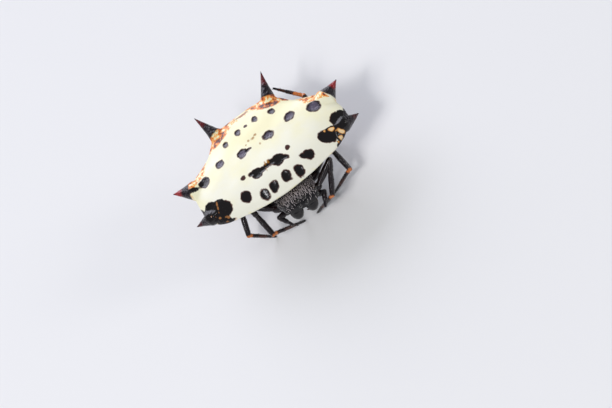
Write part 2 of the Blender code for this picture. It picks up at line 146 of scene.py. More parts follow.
# Small marks between the pits: brown dots, and softer ochre flecks
DOTS = (
    (1.58, -0.32, 0.2, 0.2, 0), (-1.9, -0.36, 0.21, 0.2, 0), (-0.06, -3.74, 0.18, 0.17, 0),
    (-0.48, -1.95, 0.09, 0.08, 0))
FLECKS = (
    (-0.4, -2.55, 0.1, 0.09, 0), (-0.07, -2.51, 0.13, 0.1, 0), (0.18, -1.81, 0.07, 0.1, 0),
    (0.19, -2.65, 0.09, 0.08, 0), (-0.2, -0.28, 0.05, 0.11, 0), (0.02, -0.25, 0.05, 0.08, 0),
    (-0.3, 0.22, 0.04, 0.1, 0), (-0.65, -2.38, 0.05, 0.05, 0))

# Black beds at the corners, pale blobs and tan gaps on them, and the brown streaks of the rim
BEDS = (
    (4.55, 0.22, 0.6, 0.42, 12), (5.22, 0.05, 0.42, 0.5, 31), (5.45, -0.5, 0.3, 0.5, 20),
    (4.92, 0.5, 0.52, 0.34, -38), (4.5, 0.9, 0.3, 0.1, -38),
    (-4.38, 0.06, 0.62, 0.48, -8), (-4.92, -0.2, 0.54, 0.56, -31), (-4.2, 0.45, 0.5, 0.4, 20),
    (-4.7, 0.5, 0.5, 0.26, 41), (-4.3, 0.9, 0.42, 0.17, 28), (-5.2, -2.16, 0.46, 0.13, 21))
BLOBS = (
    (4.54, 0.02, 0.19, 0.1, 10), (4.95, 0.3, 0.2, 0.13, 10), (4.76, 0.68, 0.13, 0.16, 20),
    (4.1, -0.05, 0.08, 0.06, 0), (5.12, 0.46, 0.07, 0.07, 0), (4.45, 0.84, 0.09, 0.05, 0))
GAPS = (
    (-4.27, -0.25, 0.04, 0.1, 20), (-4.38, 0.02, 0.045, 0.08, 20), (-4.5, 0.24, 0.05, 0.07, 0),
    (-4.58, 0.55, 0.14, 0.03, 35), (-4.3, 0.75, 0.09, 0.04, 25), (-4.05, 0.9, 0.12, 0.03, 25),
    (-4.4, 0.93, 0.1, 0.03, 30), (-4.85, 0.26, 0.07, 0.03, 35), (-5.05, 0.1, 0.05, 0.03, 0))
STREAKS = (
    (-0.08, -4.92, 0.55, 0.12, 0), (-3.9, 1.16, 0.5, 0.06, 28))

MARKS = {
    "pit": PITS, "dot": DOTS, "fleck": FLECKS, "bed": BEDS, "blob": BLOBS, "gap": GAPS,
    "streak": STREAKS}

# Cephalothorax, in its own frame about its middle
HEAD_PLACE = (0.17, 0.95, 2.75)
HEAD_ROLL = math.radians(11)
HEAD_TURN = math.radians(4)
HEAD_RIM = (
    (0.0, 1.66, -0.05), (0.8, 1.62, -0.05), (1.2, 1.38, -0.03), (1.36, 0.9, 0.0),
    (1.5, 0.25, 0.0), (1.6, -0.4, 0.0), (1.42, -0.92, 0.0), (0.9, -1.32, 0.0), (0.0, -1.48, 0.0))
HEAD_MESH = (128, 64)
HEAD_TOP = 0.85
THORAX_TOP = 0.4
HEAD_STEP = (-0.2, 0.75)
STERNUM = -0.62
MOUTH_RISE = 0.42
MOUTH_STEP = (0.75, 1.2)
HEAD_SHOULDER = (3.2, 0.55)
STERNUM_LIP = (3.0, 0.5)
# Dent: left, forward, spread and depth. Groove: place in the middle, slant, width and depth
FOVEA = (0.0, -0.7, 0.22, 0.12)
NECK_GROOVE = (-0.35, 0.5, 0.1, 0.05)
EYE_MOUND = 0.05
EYE_MOUND_SPREAD = 0.22
EYE_PROFILE = (
    (-0.9, 0.8), (-0.3, 1.12), (-0.08, 1.2), (0.08, 1.16), (0.14, 1.0), (0.34, 0.97),
    (0.56, 0.85), (0.76, 0.66), (0.9, 0.44), (0.98, 0.22), (1.0, 0.04))
EYE_SIDES = 28
EYE_COLLAR = (0.1, 0.2)
EYE_SINK = 0.9
EYE_LOOK_FROM = (0.0, -0.55, 0.1)

# Jaws in the same frame: root, bulge and lower end, with their radii
JAW_JOINTS = ((0.5, 0.95, 0.1), (0.55, 1.3, -0.35), (0.52, 1.42, -0.95))
JAW_PROFILE = (
    (0.0, 0.3), (0.08, 0.38), (0.22, 0.43), (0.4, 0.47), (0.58, 0.46),
    (0.74, 0.41), (0.87, 0.33), (0.96, 0.2), (1.0, 0.06))
FANG_JOINTS = ((0.46, 1.36, -0.86), (0.4, 1.24, -1.05), (0.12, 1.12, -1.04))
FANG_PROFILE = ((0.0, 0.13), (0.25, 0.12), (0.5, 0.09), (0.75, 0.06), (1.0, 0.012))
JAW_SIDES = 32
JAW_FLATNESS = 0.95
FANG_SIDES = 16

# Steps of the path that a form is laid along, and the shortest length that gives a direction
PATH_STEPS = 32
LEAST_LENGTH = 1e-4

# Palps: root, trochanter, knee, and tip
PALP_JOINTS = {
    "left": ((0.75, 1.35, 2.45), (1.15, 1.6, 1.85), (1.75, 1.75, 1.8), (1.3, 2.45, 1.4)),
    "right": ((-0.45, 1.35, 2.5), (-1.0, 1.5, 1.95), (-1.58, 1.6, 2.05), (-1.15, 2.15, 1.35)),
}

# Legs: hip inside the body, trochanter, knee, end of the tibia and foot
LEG_JOINTS = {
    "leg_1_left": (
        (1.0, 1.7, 2.45), (1.65, 1.5, 2.3), (3.25, 0.9, 3.1), (2.09, 2.29, 1.7), (0.5, 1.53, 0.0)),
    "leg_1_right": (
        (-0.7, 1.5, 2.4), (-1.45, 1.1, 2.35), (-2.82, 0.17, 3.05), (-2.56, 1.98, 1.5),
        (-0.53, 1.48, 0.0)),
    "leg_2_left": (
        (1.0, 0.9, 2.45), (1.95, 0.6, 2.3), (3.59, -0.64, 2.85), (3.9, 1.21, 1.5), (2.14, 1.0, 0.0)),
    "leg_2_right": (
        (-0.8, 0.75, 2.4), (-1.75, 0.4, 2.3), (-3.3, -0.7, 2.85), (-3.98, 0.92, 1.5),
        (-2.7, 1.17, 0.0)),
    "leg_3_left": (
        (1.0, 0.3, 2.45), (1.85, -0.1, 2.2), (2.95, -1.1, 2.25), (3.7, -2.1, 1.4), (3.5, -2.7, 0.0)),
    "leg_3_right": (
        (-0.8, 0.2, 2.4), (-1.75, -0.2, 2.25), (-2.95, -1.2, 2.25), (-3.6, -2.1, 1.4),
        (-3.4, -2.7, 0.0)),
    "leg_4_left": (
        (0.8, -0.2, 2.45), (1.5, -0.65, 2.35), (4.15, -2.45, 2.6), (4.02, -4.68, 3.1),
        (2.64, -6.15, 3.7)),
    "leg_4_right": (
        (-0.7, -0.2, 2.45), (-1.4, -0.7, 2.4), (-3.4, -2.5, 2.75), (-3.2, -4.1, 1.9),
        (-2.7, -4.6, 0.0)),
}
FOOT_RISE = 0.09
PALP_GIRTH = 0.85

# Where a segment ends between two joints: patella, metatarsus, and the tibia of a palp
PATELLA_SHARE = 0.3
METATARSUS_SHARE = 0.6
PALP_TIBIA_SHARE = 0.58

# Tones along a limb by station: 2 is the start of the femur, 5 of the metatarsus, 6 of the tarsus
FEMUR_STATION = 2.0
LAST_STATION = 7.0
LIMB_TONES = (
    (4.98, "leg"), (5.03, "leg_ring"), (5.17, "leg_ring"), (5.22, "leg_brown"), (5.32, "leg"),
    (5.5, "leg"), (5.7, "leg_brown"), (6.05, "leg_brown"), (6.3, "leg"))

# The raised leg has a longer orange part: its stations, and the ones that give their tones
RAISED_LEG = "leg_4_left"
RAISED_STATIONS = (
    (0.0, 0.0), (5.0, 5.03), (5.5, 5.17), (5.92, 5.42), (6.12, 5.62), (6.5, 6.0), (7.0, 7.0))

# Leg segments: girth at the root and at the end, and their swellings along the length
SEGMENTS = {
    "coxa": (0.31, 0.27, ((0.3, 1.06), (0.7, 1.0))),
    "femur": (0.2, 0.2, ((0.12, 0.92), (0.4, 1.22), (0.7, 1.16), (0.92, 1.0))),
    "patella": (0.2, 0.2, ((0.25, 1.02), (0.6, 1.08), (0.88, 0.98))),
    "tibia": (0.185, 0.17, ((0.1, 0.9), (0.4, 1.1), (0.75, 1.08), (0.93, 1.04))),
    "metatarsus": (0.14, 0.12, ((0.1, 0.94), (0.5, 0.98), (0.92, 1.02))),
    "tarsus": (0.115, 0.075, ((0.12, 0.98), (0.5, 0.98), (0.85, 0.95))),
}
SEGMENT_SIDES = 20
CLAW_PROFILE = ((0.0, 0.024), (0.3, 0.023), (0.6, 0.018), (0.85, 0.01), (1.0, 0.003))
CLAW_SIDES = 10
CLAW_SPREAD = 0.03
CLAW_PARTING = (0.6, 0.3)
CLAW_SINK = 0.05
CLAW_REACH = 0.08
CLAW_OUT = (0.02, 0.06)
CLAW_LEAST_HEIGHTS = (0.04, 0.034, 0.006)
CAP_STEPS = (0.0, 0.38, 0.71, 0.92, 1.0)
CAP_REACH = math.radians(80)
CAP_FLAT = 0.12

# Pedicel and spinnerets
WAIST = ((0.14, 0.3, 2.75), (0.06, -1.0, 2.78), (0.0, -2.0, 2.72))
WAIST_PROFILE = (
    (0.0, 0.3), (0.3, 0.28), (0.36, 0.32), (0.44, 0.26), (0.52, 0.3), (0.6, 0.26), (0.7, 0.3),
    (1.0, 0.34))
SPINNERETS = (
    ("front", 0.17, 0.3, 0.15, 0.5), ("middle", 0.1, 0.02, 0.08, 0.42),
    ("rear", 0.18, -0.28, 0.14, 0.5))
SPINNERET_SHAPE = (
    (0.0, 1.0), (0.3, 1.05), (0.6, 0.95), (0.8, 0.8), (0.84, 0.62), (0.95, 0.5), (1.0, 0.2))
SPINNERET_RING = ((-0.2, 0.62), (-0.02, 0.6), (0.08, 0.56), (0.14, 0.48), (0.16, 0.3))
WAIST_SIDES = 24
RING_SIDES = 40
RING_FALL = 0.1
SPINNERET_SIDES = 18

# Joints of a spinneret: shares of its offset across and along, how far down, and share of its drop
SPINNERET_PATH = ((1.0, 0.8, 0.0, 0.0), (1.15, 1.1, 0.25, 0.5), (0.9, 0.9, 0.22, 1.0))

# Hairs: rows on the carapace, and short dark ones on the limbs
HAIR_SHAPE = ((0.0, 0.5), (0.5, 0.5), (0.85, 0.34), (1.0, 0.04))
HAIR_SEED = 11
HAIR_ROW = 0.115
HAIR_STEP = 0.072
HAIR_FORWARD = (-1.4, 1.5)
HAIR_ASIDE = 1.6
HAIR_SCATTER = (0.016, 0.02)
HAIR_EDGE = 0.955
HAIR_THINNING = 0.75
FACE_FORWARD = (0.95, 1.45)
HAIR_TONES = (0.0, 0.35)
HAIR_SIZES = (0.75, 1.2)
HAIR_LEAN = 0.22
SLOPE_STEP = 0.03

# Bend of a hair: how far it rises and curls back, how far it lies over, its tilt, and its sunk root
HAIR_RISE = 0.62
HAIR_CURL = 0.62
HAIR_LIE = (0.45, 0.4)
HAIR_TILT = 0.3
HAIR_ROOT = 0.01
TONE_RISE = 0.7
PATCH = 0.003

# Hairs of one leg: how many, where, how long and wide, their tones, and their columns in the map
LEG_HAIRS = 110
LEG_HAIR_SHARES = (0.08, 0.98)
LEG_HAIR_SIZES = (0.1, 0.2)
LEG_HAIR_WIDTH = 0.016
LEG_HAIR_SINK = 0.97
LEG_HAIR_TONES = (0.0, 0.6)
LEG_HAIR_HEIGHT = 0.15
LEG_COLUMNS = (0.02, 0.115, 0.1)
LEG_ROWS = (0.05, 0.9)

# Camera of the photo: direction, roll, distance and where it looks
CAMERA_AZIMUTH = math.radians(9)
CAMERA_ELEVATION = math.radians(52)
CAMERA_ROLL = math.radians(42.2)
CAMERA_DISTANCE = 206.9
CAMERA_AIM = (0.0, 0.0, 5.2)
CAMERA_OFFSET = (2.38, -2.547)
CAMERA_LENS = 190.0
CAMERA_SENSOR = 36.0
CAMERA_CLIP = (0.01, 10.0)

# Studio: place, width, height, power, tone, spread in degrees and whether it shows in gloss
LIGHTS = {
    "key": ((-140, -160, 260), 100, 100, 0.5, (1.0, 0.98, 0.95), 180, False),
    "spark": ((-110, -170, 260), 30, 30, 0.13, (0.97, 0.95, 1.0), 180, True),
    "rear": ((-70, 270, 145), 420, 250, 0.46, (0.88, 0.88, 1.0), 100, True),
    "fill": ((220, -60, 90), 50, 50, 0.1, (1.0, 0.97, 0.94), 180, True),
}
LIGHT_AIM = (0, 0, 3)
SKY_TONE = (0.86, 0.92, 1.0)
SKY_STRENGTH = 0.34
FLOOR_SIZE = 3.0


def frame_shift():
    """Where the frame has the place that the animal's millimetres are measured from."""
    low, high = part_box("abdomen")
    return Vector(((low.x + high.x) / 2.0, low.y + PLATE_FRONT * MM, 0.0))


SHIFT = frame_shift()


class WeaverSizes(bpy.types.PropertyGroup):
    """Sizes that a user would change."""

    plate_top: bpy.props.FloatProperty(
        name="Plate height", description="Top of the plate above the floor",
        default=5.2 * MM, unit="LENGTH", precision=5)
    pit_depth: bpy.props.FloatProperty(
        name="Pit depth", description="Depth of the pits in the plate",
        default=0.045 * MM, unit="LENGTH", precision=5)
    leg_girth: bpy.props.FloatProperty(
        name="Leg girth", description="Thickness of the legs, against the photo's",
        default=1.0, min=0.5, max=1.4)
    hair_length: bpy.props.FloatProperty(
        name="Hair length", description="Length of the pale hairs on the carapace",
        default=0.23 * MM, unit="LENGTH", precision=5)
    hair_width: bpy.props.FloatProperty(
        name="Hair width", description="Width of the pale hairs on the carapace",
        default=0.036 * MM, unit="LENGTH", precision=5)


def colour_property(name, description, value):
    return bpy.props.FloatVectorProperty(
        name=name, description=description, subtype="COLOR", size=3, min=0.0, max=1.0, default=value)


class WeaverColours(bpy.types.PropertyGroup):
    """Colours of the animal and its floor."""

    enamel: colour_property("Enamel", "Front of the plate", (0.83, 0.82, 0.7))
    enamel_rear: colour_property("Rear enamel", "Rear of the plate", (0.84, 0.8, 0.52))
    pit: colour_property("Pits", "Pits of the plate", (0.006, 0.004, 0.004))
    # Painted sky reflection: the lilac grey that the centres of the rear pits get in place of black
    pit_sky_reflection: colour_property("Rear pits", "Centres of the rear pits", (0.085, 0.07, 0.105))
    pit_edge: colour_property("Pit edges", "Edges of the pits", (0.07, 0.016, 0.01))
    dot: colour_property("Dots", "Small dots of the plate", (0.045, 0.01, 0.006))
    fleck: colour_property("Flecks", "Soft flecks of the plate", (0.34, 0.14, 0.008))
    streak: colour_property("Streaks", "Brown streaks of the rim", (0.3, 0.075, 0.03))
    gap: colour_property("Tan", "Tan gaps at the right front corner", (0.36, 0.15, 0.045))
    thorn: colour_property("Spines", "Root half of the spines", (0.008, 0.004, 0.007))
    thorn_red: colour_property("Red of the spines", "Outer half of the spines", (0.27, 0.011, 0.012))
    cream: colour_property("Cream", "Pale blobs at the front corners", (0.8, 0.6, 0.34))
    amber: colour_property("Amber", "Pale mottling at the rear rim", (0.82, 0.4, 0.1))
    orange: colour_property("Orange", "Mottling at the rear rim", (0.68, 0.16, 0.022))
    rust: colour_property("Rust", "Dark mottling at the rear rim", (0.08, 0.013, 0.006))
    belly: colour_property("Belly", "Underside", (0.03, 0.017, 0.011))
    carapace: colour_property("Carapace", "Head and thorax", (0.007, 0.006, 0.007))
    fang: colour_property("Fangs", "Fangs", (0.05, 0.012, 0.006))
    eye: colour_property("Eyes", "Lenses of the eyes", (0.008, 0.005, 0.004))
    waist: colour_property("Waist", "Waist", (0.03, 0.015, 0.01))
    spinneret: colour_property("Spinnerets", "Spinnerets and their ring", (0.02, 0.01, 0.007))
    claw: colour_property("Claws", "Claws of the legs", (0.02, 0.012, 0.01))
    hair: colour_property("Pale hair", "Hairs on the carapace", (0.62, 0.55, 0.56))
    dark_hair: colour_property("Dark hair", "Hairs on the legs", (0.05, 0.03, 0.025))
    leg: colour_property("Legs", "Legs and palps", (0.009, 0.006, 0.008))
    leg_brown: colour_property("Leg brown", "Middle of the metatarsus", (0.06, 0.018, 0.01))
    leg_ring: colour_property("Leg rings", "Rings at the leg joints", (0.58, 0.17, 0.035))
    floor: colour_property("Floor", "Plain floor", (0.72, 0.72, 0.72))


def sizes():
    return bpy.context.scene.weaver_sizes


def colours():
    return bpy.context.scene.weaver_colours


def at(place):
    """A modelling place from millimetres left, forward and up."""
    return Vector((place[0], -place[1], place[2]))


def mirrored(place, side):
    return (place[0] * side,) + tuple(place[1:])


def clear_selection():
    bpy.ops.object.select_all(action="DESELECT")


def only(piece):
    clear_selection()
    piece.select_set(True)
    bpy.context.view_layer.objects.active = piece


def newest(name):
    piece = bpy.context.object
    piece.name = name
    piece.data.name = name
    return piece


def points(piece):
    values = np.empty(len(piece.data.vertices) * 3)
    piece.data.vertices.foreach_get("co", values)
    return values.reshape(-1, 3)


def normals(piece):
    values = np.empty(len(piece.data.vertices) * 3)
    piece.data.vertices.foreach_get("normal", values)
    return values.reshape(-1, 3)


def move_points(piece, places):
    piece.data.vertices.foreach_set("co", np.asarray(places, dtype=float).ravel())
    piece.data.update()


def set_field(piece, name, values):
    """Store one number for each vertex, for the material to read."""
    field = piece.data.attributes.get(name) or piece.data.attributes.new(name, "FLOAT", "POINT")
    field.data.foreach_set("value", np.asarray(values, dtype=np.float32))


def apply_modifier(piece, kind, **values):
    only(piece)
    modifier = piece.modifiers.new(kind.lower(), kind)
    for key, value in values.items():
        setattr(modifier, key, value)
    bpy.ops.object.modifier_apply(modifier=modifier.name)


def apply_place(piece, matrix):
    only(piece)
    piece.matrix_world = matrix
    bpy.ops.object.transform_apply(location=True, rotation=True, scale=True)


def join(name, pieces):
    """Join pieces into the first of them."""
    clear_selection()
    for piece in pieces:
        piece.select_set(True)
    bpy.context.view_layer.objects.active = pieces[0]
    bpy.ops.object.join()
    return newest(name)


def settle(piece, material, slot, *nodes):
    """Put a finished piece into the frame, with its finish and the nodes that it stands for."""
    if not piece.data.polygons:
        raise RuntimeError(f"{piece.name} came out without faces")
    apply_place(piece, Matrix.Translation(SHIFT) @ Matrix.Scale(MM, 4))
    piece.data.materials.clear()
    piece.data.materials.append(material)
    only(piece)
    bpy.ops.object.shade_smooth()
    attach(piece, BODY)
    if nodes:
        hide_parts(*nodes)


def smooth_step(low, high, value):
    """Smooth rise from 0 at low to 1 at high."""
    share = np.clip((value - low) / (high - low), 0.0, 1.0)
    return share * share * (3.0 - 2.0 * share)


def drawn_form(name, profile, sides):
    """A round form drawn out along +Z: a disc, then one extrusion for each (height, radius)."""
    clear_selection()
    last_height, last_radius = profile[0]
    bpy.ops.mesh.primitive_circle_add(
        vertices=sides, radius=last_radius, fill_type="NGON", location=(0, 0, last_height))
    piece = newest(name)
    apply_place(piece, piece.matrix_world.copy())
    bpy.ops.object.mode_set(mode="EDIT")
    bpy.ops.mesh.select_all(action="SELECT")
    for height, radius in profile[1:]:
        rise = (0, 0, height - last_height)
        bpy.ops.mesh.extrude_region_move(TRANSFORM_OT_translate={"value": rise})
        growth = radius / last_radius
        bpy.ops.transform.resize(value=(growth, growth, 1), center_override=(0, 0, height))
        last_height, last_radius = height, radius
    bpy.ops.mesh.select_all(action="SELECT")
    bpy.ops.mesh.normals_make_consistent(inside=False)
    bpy.ops.object.mode_set(mode="OBJECT")
    return piece


def copy_of(piece, name):
    only(piece)
    bpy.ops.object.duplicate(linked=False)
    return newest(name)


def remove(piece):
    mesh = piece.data
    bpy.data.objects.remove(piece)
    bpy.data.meshes.remove(mesh)


def lay_along(piece, joints, flatten=1.0):
    """Bend a form drawn along +Z from 0 to 1 onto the smooth path through its joints."""
    places = points(piece)
    path = [smooth_path(joints, share) for share in np.linspace(0.0, 1.0, PATH_STEPS + 1)]
    path = np.array([tuple(place) for place in path])
    ways = np.gradient(path, axis=0)
    ways /= np.linalg.norm(ways, axis=1)[:, None]
    across = np.cross(ways, (0.0, 0.0, 1.0))
    lengths = np.linalg.norm(across, axis=1)[:, None]
    sideways = across / np.maximum(lengths, LEAST_LENGTH)
    across = np.where(lengths > LEAST_LENGTH, sideways, (1.0, 0.0, 0.0))
    out = np.cross(across, ways)
    steps = np.arange(PATH_STEPS + 1)
    stations = np.clip(places[:, 2], 0.0, 1.0) * PATH_STEPS

    def along(rows):
        return np.stack([np.interp(stations, steps, rows[:, axis]) for axis in range(3)], axis=1)

    overshoot = (places[:, 2] - stations / PATH_STEPS)[:, None] * along(ways)
    moved = along(path) + along(across) * places[:, :1] + along(out) * places[:, 1:2] * flatten
    move_points(piece, moved + overshoot)
    recalculate_normals(piece)


def smooth_path(joints, share):
    """A place on the quadratic curve that starts, bends and ends at three joints."""
    start, bend, end = (Vector(joint) for joint in joints)
    control = bend * 2.0 - (start + end) / 2.0
    return start.lerp(control, share).lerp(control.lerp(end, share), share)


def recalculate_normals(piece):
    only(piece)
    bpy.ops.object.mode_set(mode="EDIT")
    bpy.ops.mesh.select_all(action="SELECT")
    bpy.ops.mesh.normals_make_consistent(inside=False)
    bpy.ops.object.mode_set(mode="OBJECT")


class Body:
    """A rounded body: a smooth rim in plan, with a top and an underside that meet along it."""

    STEPS = 8

    def __init__(self, rim, centre, top, underside, shoulder, lip):
        self.centre = centre
        self.top = top
        self.underside = underside
        self.shoulder = shoulder
        self.lip = lip
        loop = [Vector(place) for place in rim]
        loop += [Vector(mirrored(place, -1)) for place in rim[-2:0:-1]]
        rows = []
        for index in range(len(loop)):
            corners = [loop[(index + shift) % len(loop)] for shift in (-1, 0, 1, 2)]
            for step in range(self.STEPS):
                place = self.between(*corners, step / self.STEPS)
                across = place.x - centre[0]
                along = place.y - centre[1]
                rows.append((math.atan2(across, along) % math.tau, math.hypot(across, along), place.z))
        self.angles, self.reaches, self.heights = np.array(sorted(rows)).T

    @staticmethod
    def between(before, start, end, after, share):
        """A point of the smooth curve that runs through start and end."""
        steps = (
            2.0 * start,
            (end - before) * share,
            (2.0 * before - 5.0 * start + 4.0 * end - after) * share ** 2,
            (3.0 * start - before - 3.0 * end + after) * share ** 3)
        return 0.5 * (steps[0] + steps[1] + steps[2] + steps[3])

    def reach(self, angle):
        return np.interp(angle, self.angles, self.reaches, period=math.tau)

    def share(self, left, forward):
        """How far out a place lies in plan: 0 at the centre and 1 at the rim."""
        across = left - self.centre[0]
        along = forward - self.centre[1]
        return np.hypot(across, along) / self.reach(np.arctan2(across, along))

    def height(self, left, forward, upper):
        share = np.minimum(self.share(left, forward), 1.0)
        angle = np.arctan2(left - self.centre[0], forward - self.centre[1])
        rim = np.interp(angle, self.angles, self.heights, period=math.tau)
        power, edge = self.shoulder
        top = rim + (self.top(left, forward) - rim) * (1.0 - share ** power) ** edge
        power, edge = self.lip
        low = rim + (self.underside(left, forward) - rim) * (1.0 - share ** power) ** edge
        return np.where(upper, top, low)

    def model(self, name, segments):
        """A ball drawn out in plan to the rim and set to the body's heights."""
        clear_selection()
        columns, rings = segments
        bpy.ops.mesh.primitive_uv_sphere_add(segments=columns, ring_count=rings, radius=1.0)
        piece = newest(name)
        ball = points(piece)
        share = np.minimum(np.hypot(ball[:, 0], ball[:, 1]), 1.0)
        angle = np.arctan2(ball[:, 0], -ball[:, 1])
        reach = self.reach(angle) * share
        left = self.centre[0] + np.sin(angle) * reach
        forward = self.centre[1] + np.cos(angle) * reach
        height = self.height(left, forward, ball[:, 2] >= 0.0)
        move_points(piece, np.stack((left, -forward, height), axis=1))
        recalculate_normals(piece)
        return piece


def plate_level(left, forward):
    return sizes().plate_top / MM - PLATE_SINK * (left / SPINES["middle"][2][0] / 2.0) ** 2


def belly_level(left, forward):
    across = (left - BELLY_PLACE[0]) / BELLY_SPREAD[0]
    along = (forward - BELLY_PLACE[1]) / BELLY_SPREAD[1]
    return PLATE_UNDERSIDE - BELLY_DEPTH * np.exp(-0.5 * (across ** 2 + along ** 2))


def carapace_level(left, forward):
    """A low thorax with a dent, a groove behind the head, and the raised head."""
    rise = smooth_step(*HEAD_STEP, forward)
    dent_left, dent_forward, spread, depth = FOVEA
    dent = depth * np.exp(-((left - dent_left) / spread) ** 2 - ((forward - dent_forward) / spread) ** 2)
    middle, slant, width, depth = NECK_GROOVE
    groove = depth * np.exp(-((forward - middle - slant * np.abs(left)) / width) ** 2)
    return THORAX_TOP + (HEAD_TOP - THORAX_TOP) * rise - dent - groove


def sternum_level(left, forward):
    return STERNUM + MOUTH_RISE * smooth_step(*MOUTH_STEP, forward)


PLATE = Body(PLATE_RIM, PLATE_CENTRE, plate_level, belly_level, PLATE_SHOULDER, PLATE_LIP)
CARAPACE = Body(HEAD_RIM, (0.0, 0.0), carapace_level, sternum_level, HEAD_SHOULDER, STERNUM_LIP)


def head_frame():
    turn = Matrix.Rotation(HEAD_TURN, 4, "Z")
    return Matrix.Translation(at(HEAD_PLACE)) @ turn @ Matrix.Rotation(HEAD_ROLL, 4, "Y")


def crest_distance(left, forward):
    """How far outside the upper edge of the rear rim a place lies, in millimetres."""
    around = np.degrees(np.arctan2(np.abs(left - PLATE_CENTRE[0]), forward - PLATE_CENTRE[1]))
    angles, shares = zip(*CREST)
    beyond = PLATE.share(left, forward) - np.interp(around, angles, shares)
    return beyond * PLATE.reach(np.arctan2(left - PLATE_CENTRE[0], forward - PLATE_CENTRE[1]))


def oval_distance(left, forward, oval):
    """How far a place lies outside an oval in plan, in millimetres, and below 0 inside it."""
    centre_left, centre_forward, half_width, half_length, turn = oval
    angle = math.radians(turn)
    across = left - centre_left
    along = forward - centre_forward
    x = (across * math.cos(angle) + along * math.sin(angle)) / half_width
    y = (along * math.cos(angle) - across * math.sin(angle)) / half_length
    return (np.hypot(x, y) - 1.0) * min(half_width, half_length)


def marks_distance(places, ovals):
    """Distance in millimetres from the nearest of several ovals, below 0 inside them."""
    return np.min([oval_distance(places[:, 0], -places[:, 1], oval) for oval in ovals], axis=0)


def waves(places, shape):
    """Smooth noise for each place, by its height, spacing and seed."""
    height, spacing, seed = shape
    offset = Vector((seed, seed * 2.0, 0.0))
    return height * np.array([noise.noise(Vector(place) / spacing + offset) for place in places])


def add_node(tree, kind, inputs=None, **settings):
    """Add a node, set its options, and fill or link its inputs."""
    made = tree.nodes.new(kind)
    for key, value in settings.items():
        setattr(made, key, value)
    for key, value in (inputs or {}).items():
        if isinstance(value, bpy.types.NodeSocket):
            tree.links.new(value, made.inputs[key])
        else:
            made.inputs[key].default_value = value
    return made


def compute(tree, operation, *values):
    return add_node(tree, "ShaderNodeMath", dict(enumerate(values)), operation=operation).outputs[0]


def ramp(tree, value, low, high, start=0.0, end=1.0):
    """Smooth step of a value from low to high."""
    inputs = {"Value": value, "From Min": low, "From Max": high, "To Min": start, "To Max": end}
    return add_node(tree, "ShaderNodeMapRange", inputs, interpolation_type="SMOOTHSTEP").outputs[0]


def blended(tree, factor, first, second):
    """Mix of two colours, each a socket or three channels."""
    first, second = [
        tone if isinstance(tone, bpy.types.NodeSocket) else (*tone, 1.0) for tone in (first, second)]
    inputs = {0: factor, 6: first, 7: second}
    return add_node(tree, "ShaderNodeMix", inputs, data_type="RGBA", clamp_factor=True).outputs[2]


def noise_value(tree, place, scale, detail=2.0, roughness=0.5):
    inputs = {"Vector": place, "Scale": scale, "Detail": detail, "Roughness": roughness}
    return add_node(tree, "ShaderNodeTexNoise", inputs).outputs[0]


def field(tree, name):
    return add_node(tree, "ShaderNodeAttribute", attribute_name=name).outputs["Fac"]


def animal_place(tree):
    """The place on the surface in the animal's millimetres: left, forward and up."""
    made = add_node(tree, "ShaderNodeTexCoord")
    inputs = {
        "Vector": made.outputs["Object"],
        "Location": (-SHIFT.x / MM, SHIFT.y / MM, 0.0),
        "Scale": (1.0 / MM, -1.0 / MM, 1.0 / MM)}
    return add_node(tree, "ShaderNodeMapping", inputs).outputs[0]


def new_material(name):
    material = bpy.data.materials.new(name)
    material.use_nodes = True
    tree = material.node_tree
    return material, tree, tree.nodes["Principled BSDF"]


def new_group(name, inputs, outputs):
    """A node group with named sockets, and its input and output nodes."""
    group = bpy.data.node_groups.new(name, "ShaderNodeTree")
    for label, kind, default in inputs:
        socket = group.interface.new_socket(label, in_out="INPUT", socket_type=kind)
        if default is not None:
            socket.default_value = default
    for label, kind in outputs:
        group.interface.new_socket(label, in_out="OUTPUT", socket_type=kind)
    return group, group.nodes.new("NodeGroupInput").outputs, group.nodes.new("NodeGroupOutput").inputs


def placed_group(tree, group, inputs):
    return add_node(tree, "ShaderNodeGroup", inputs, node_tree=group)


def mottling_group():
    """Cream, orange and rust blotches in irregular cells."""
    if "Mottling" in bpy.data.node_groups:
        return bpy.data.node_groups["Mottling"]
    group, given, out = new_group(
        "Mottling",
        (("Place", "NodeSocketVector", None), ("Scale", "NodeSocketFloat", 4.0),
         ("Lightness", "NodeSocketFloat", 0.0), ("Dark", "NodeSocketColor", None),
         ("Middle", "NodeSocketColor", None), ("Bright", "NodeSocketColor", None),
         ("Light", "NodeSocketColor", None)),
        (("Color", "NodeSocketColor"),))
    cloud = noise_value(group, given["Place"], given["Scale"], 3.0, 0.6)
    level = compute(group, "ADD", cloud, given["Lightness"])
    warm = blended(group, ramp(group, level, 0.4, 0.46), given["Dark"], given["Middle"])
    bright = blended(group, ramp(group, level, 0.5, 0.55), warm, given["Bright"])
    colour = blended(group, ramp(group, level, 0.58, 0.63), bright, given["Light"])
    group.links.new(colour, out["Color"])
    return group


def wrinkle_group():
    """Height of fine, uneven wrinkles and grains."""
    if "Fine Wrinkles" in bpy.data.node_groups:
        return bpy.data.node_groups["Fine Wrinkles"]
    group, given, out = new_group(
        "Fine Wrinkles",
        (("Place", "NodeSocketVector", None), ("Scale", "NodeSocketFloat", 8.0),
         ("Weight", "NodeSocketFloat", 1.0)),
        (("Height", "NodeSocketFloat"),))
    folds = noise_value(group, given["Place"], given["Scale"], 3.0, 0.65)
    inputs = {"Vector": given["Place"], "Scale": given["Scale"]}
    cells = add_node(group, "ShaderNodeTexVoronoi", inputs, feature="F1").outputs["Distance"]
    height = compute(group, "MULTIPLY", compute(group, "SUBTRACT", folds, cells), given["Weight"])
    group.links.new(height, out["Height"])
    return group


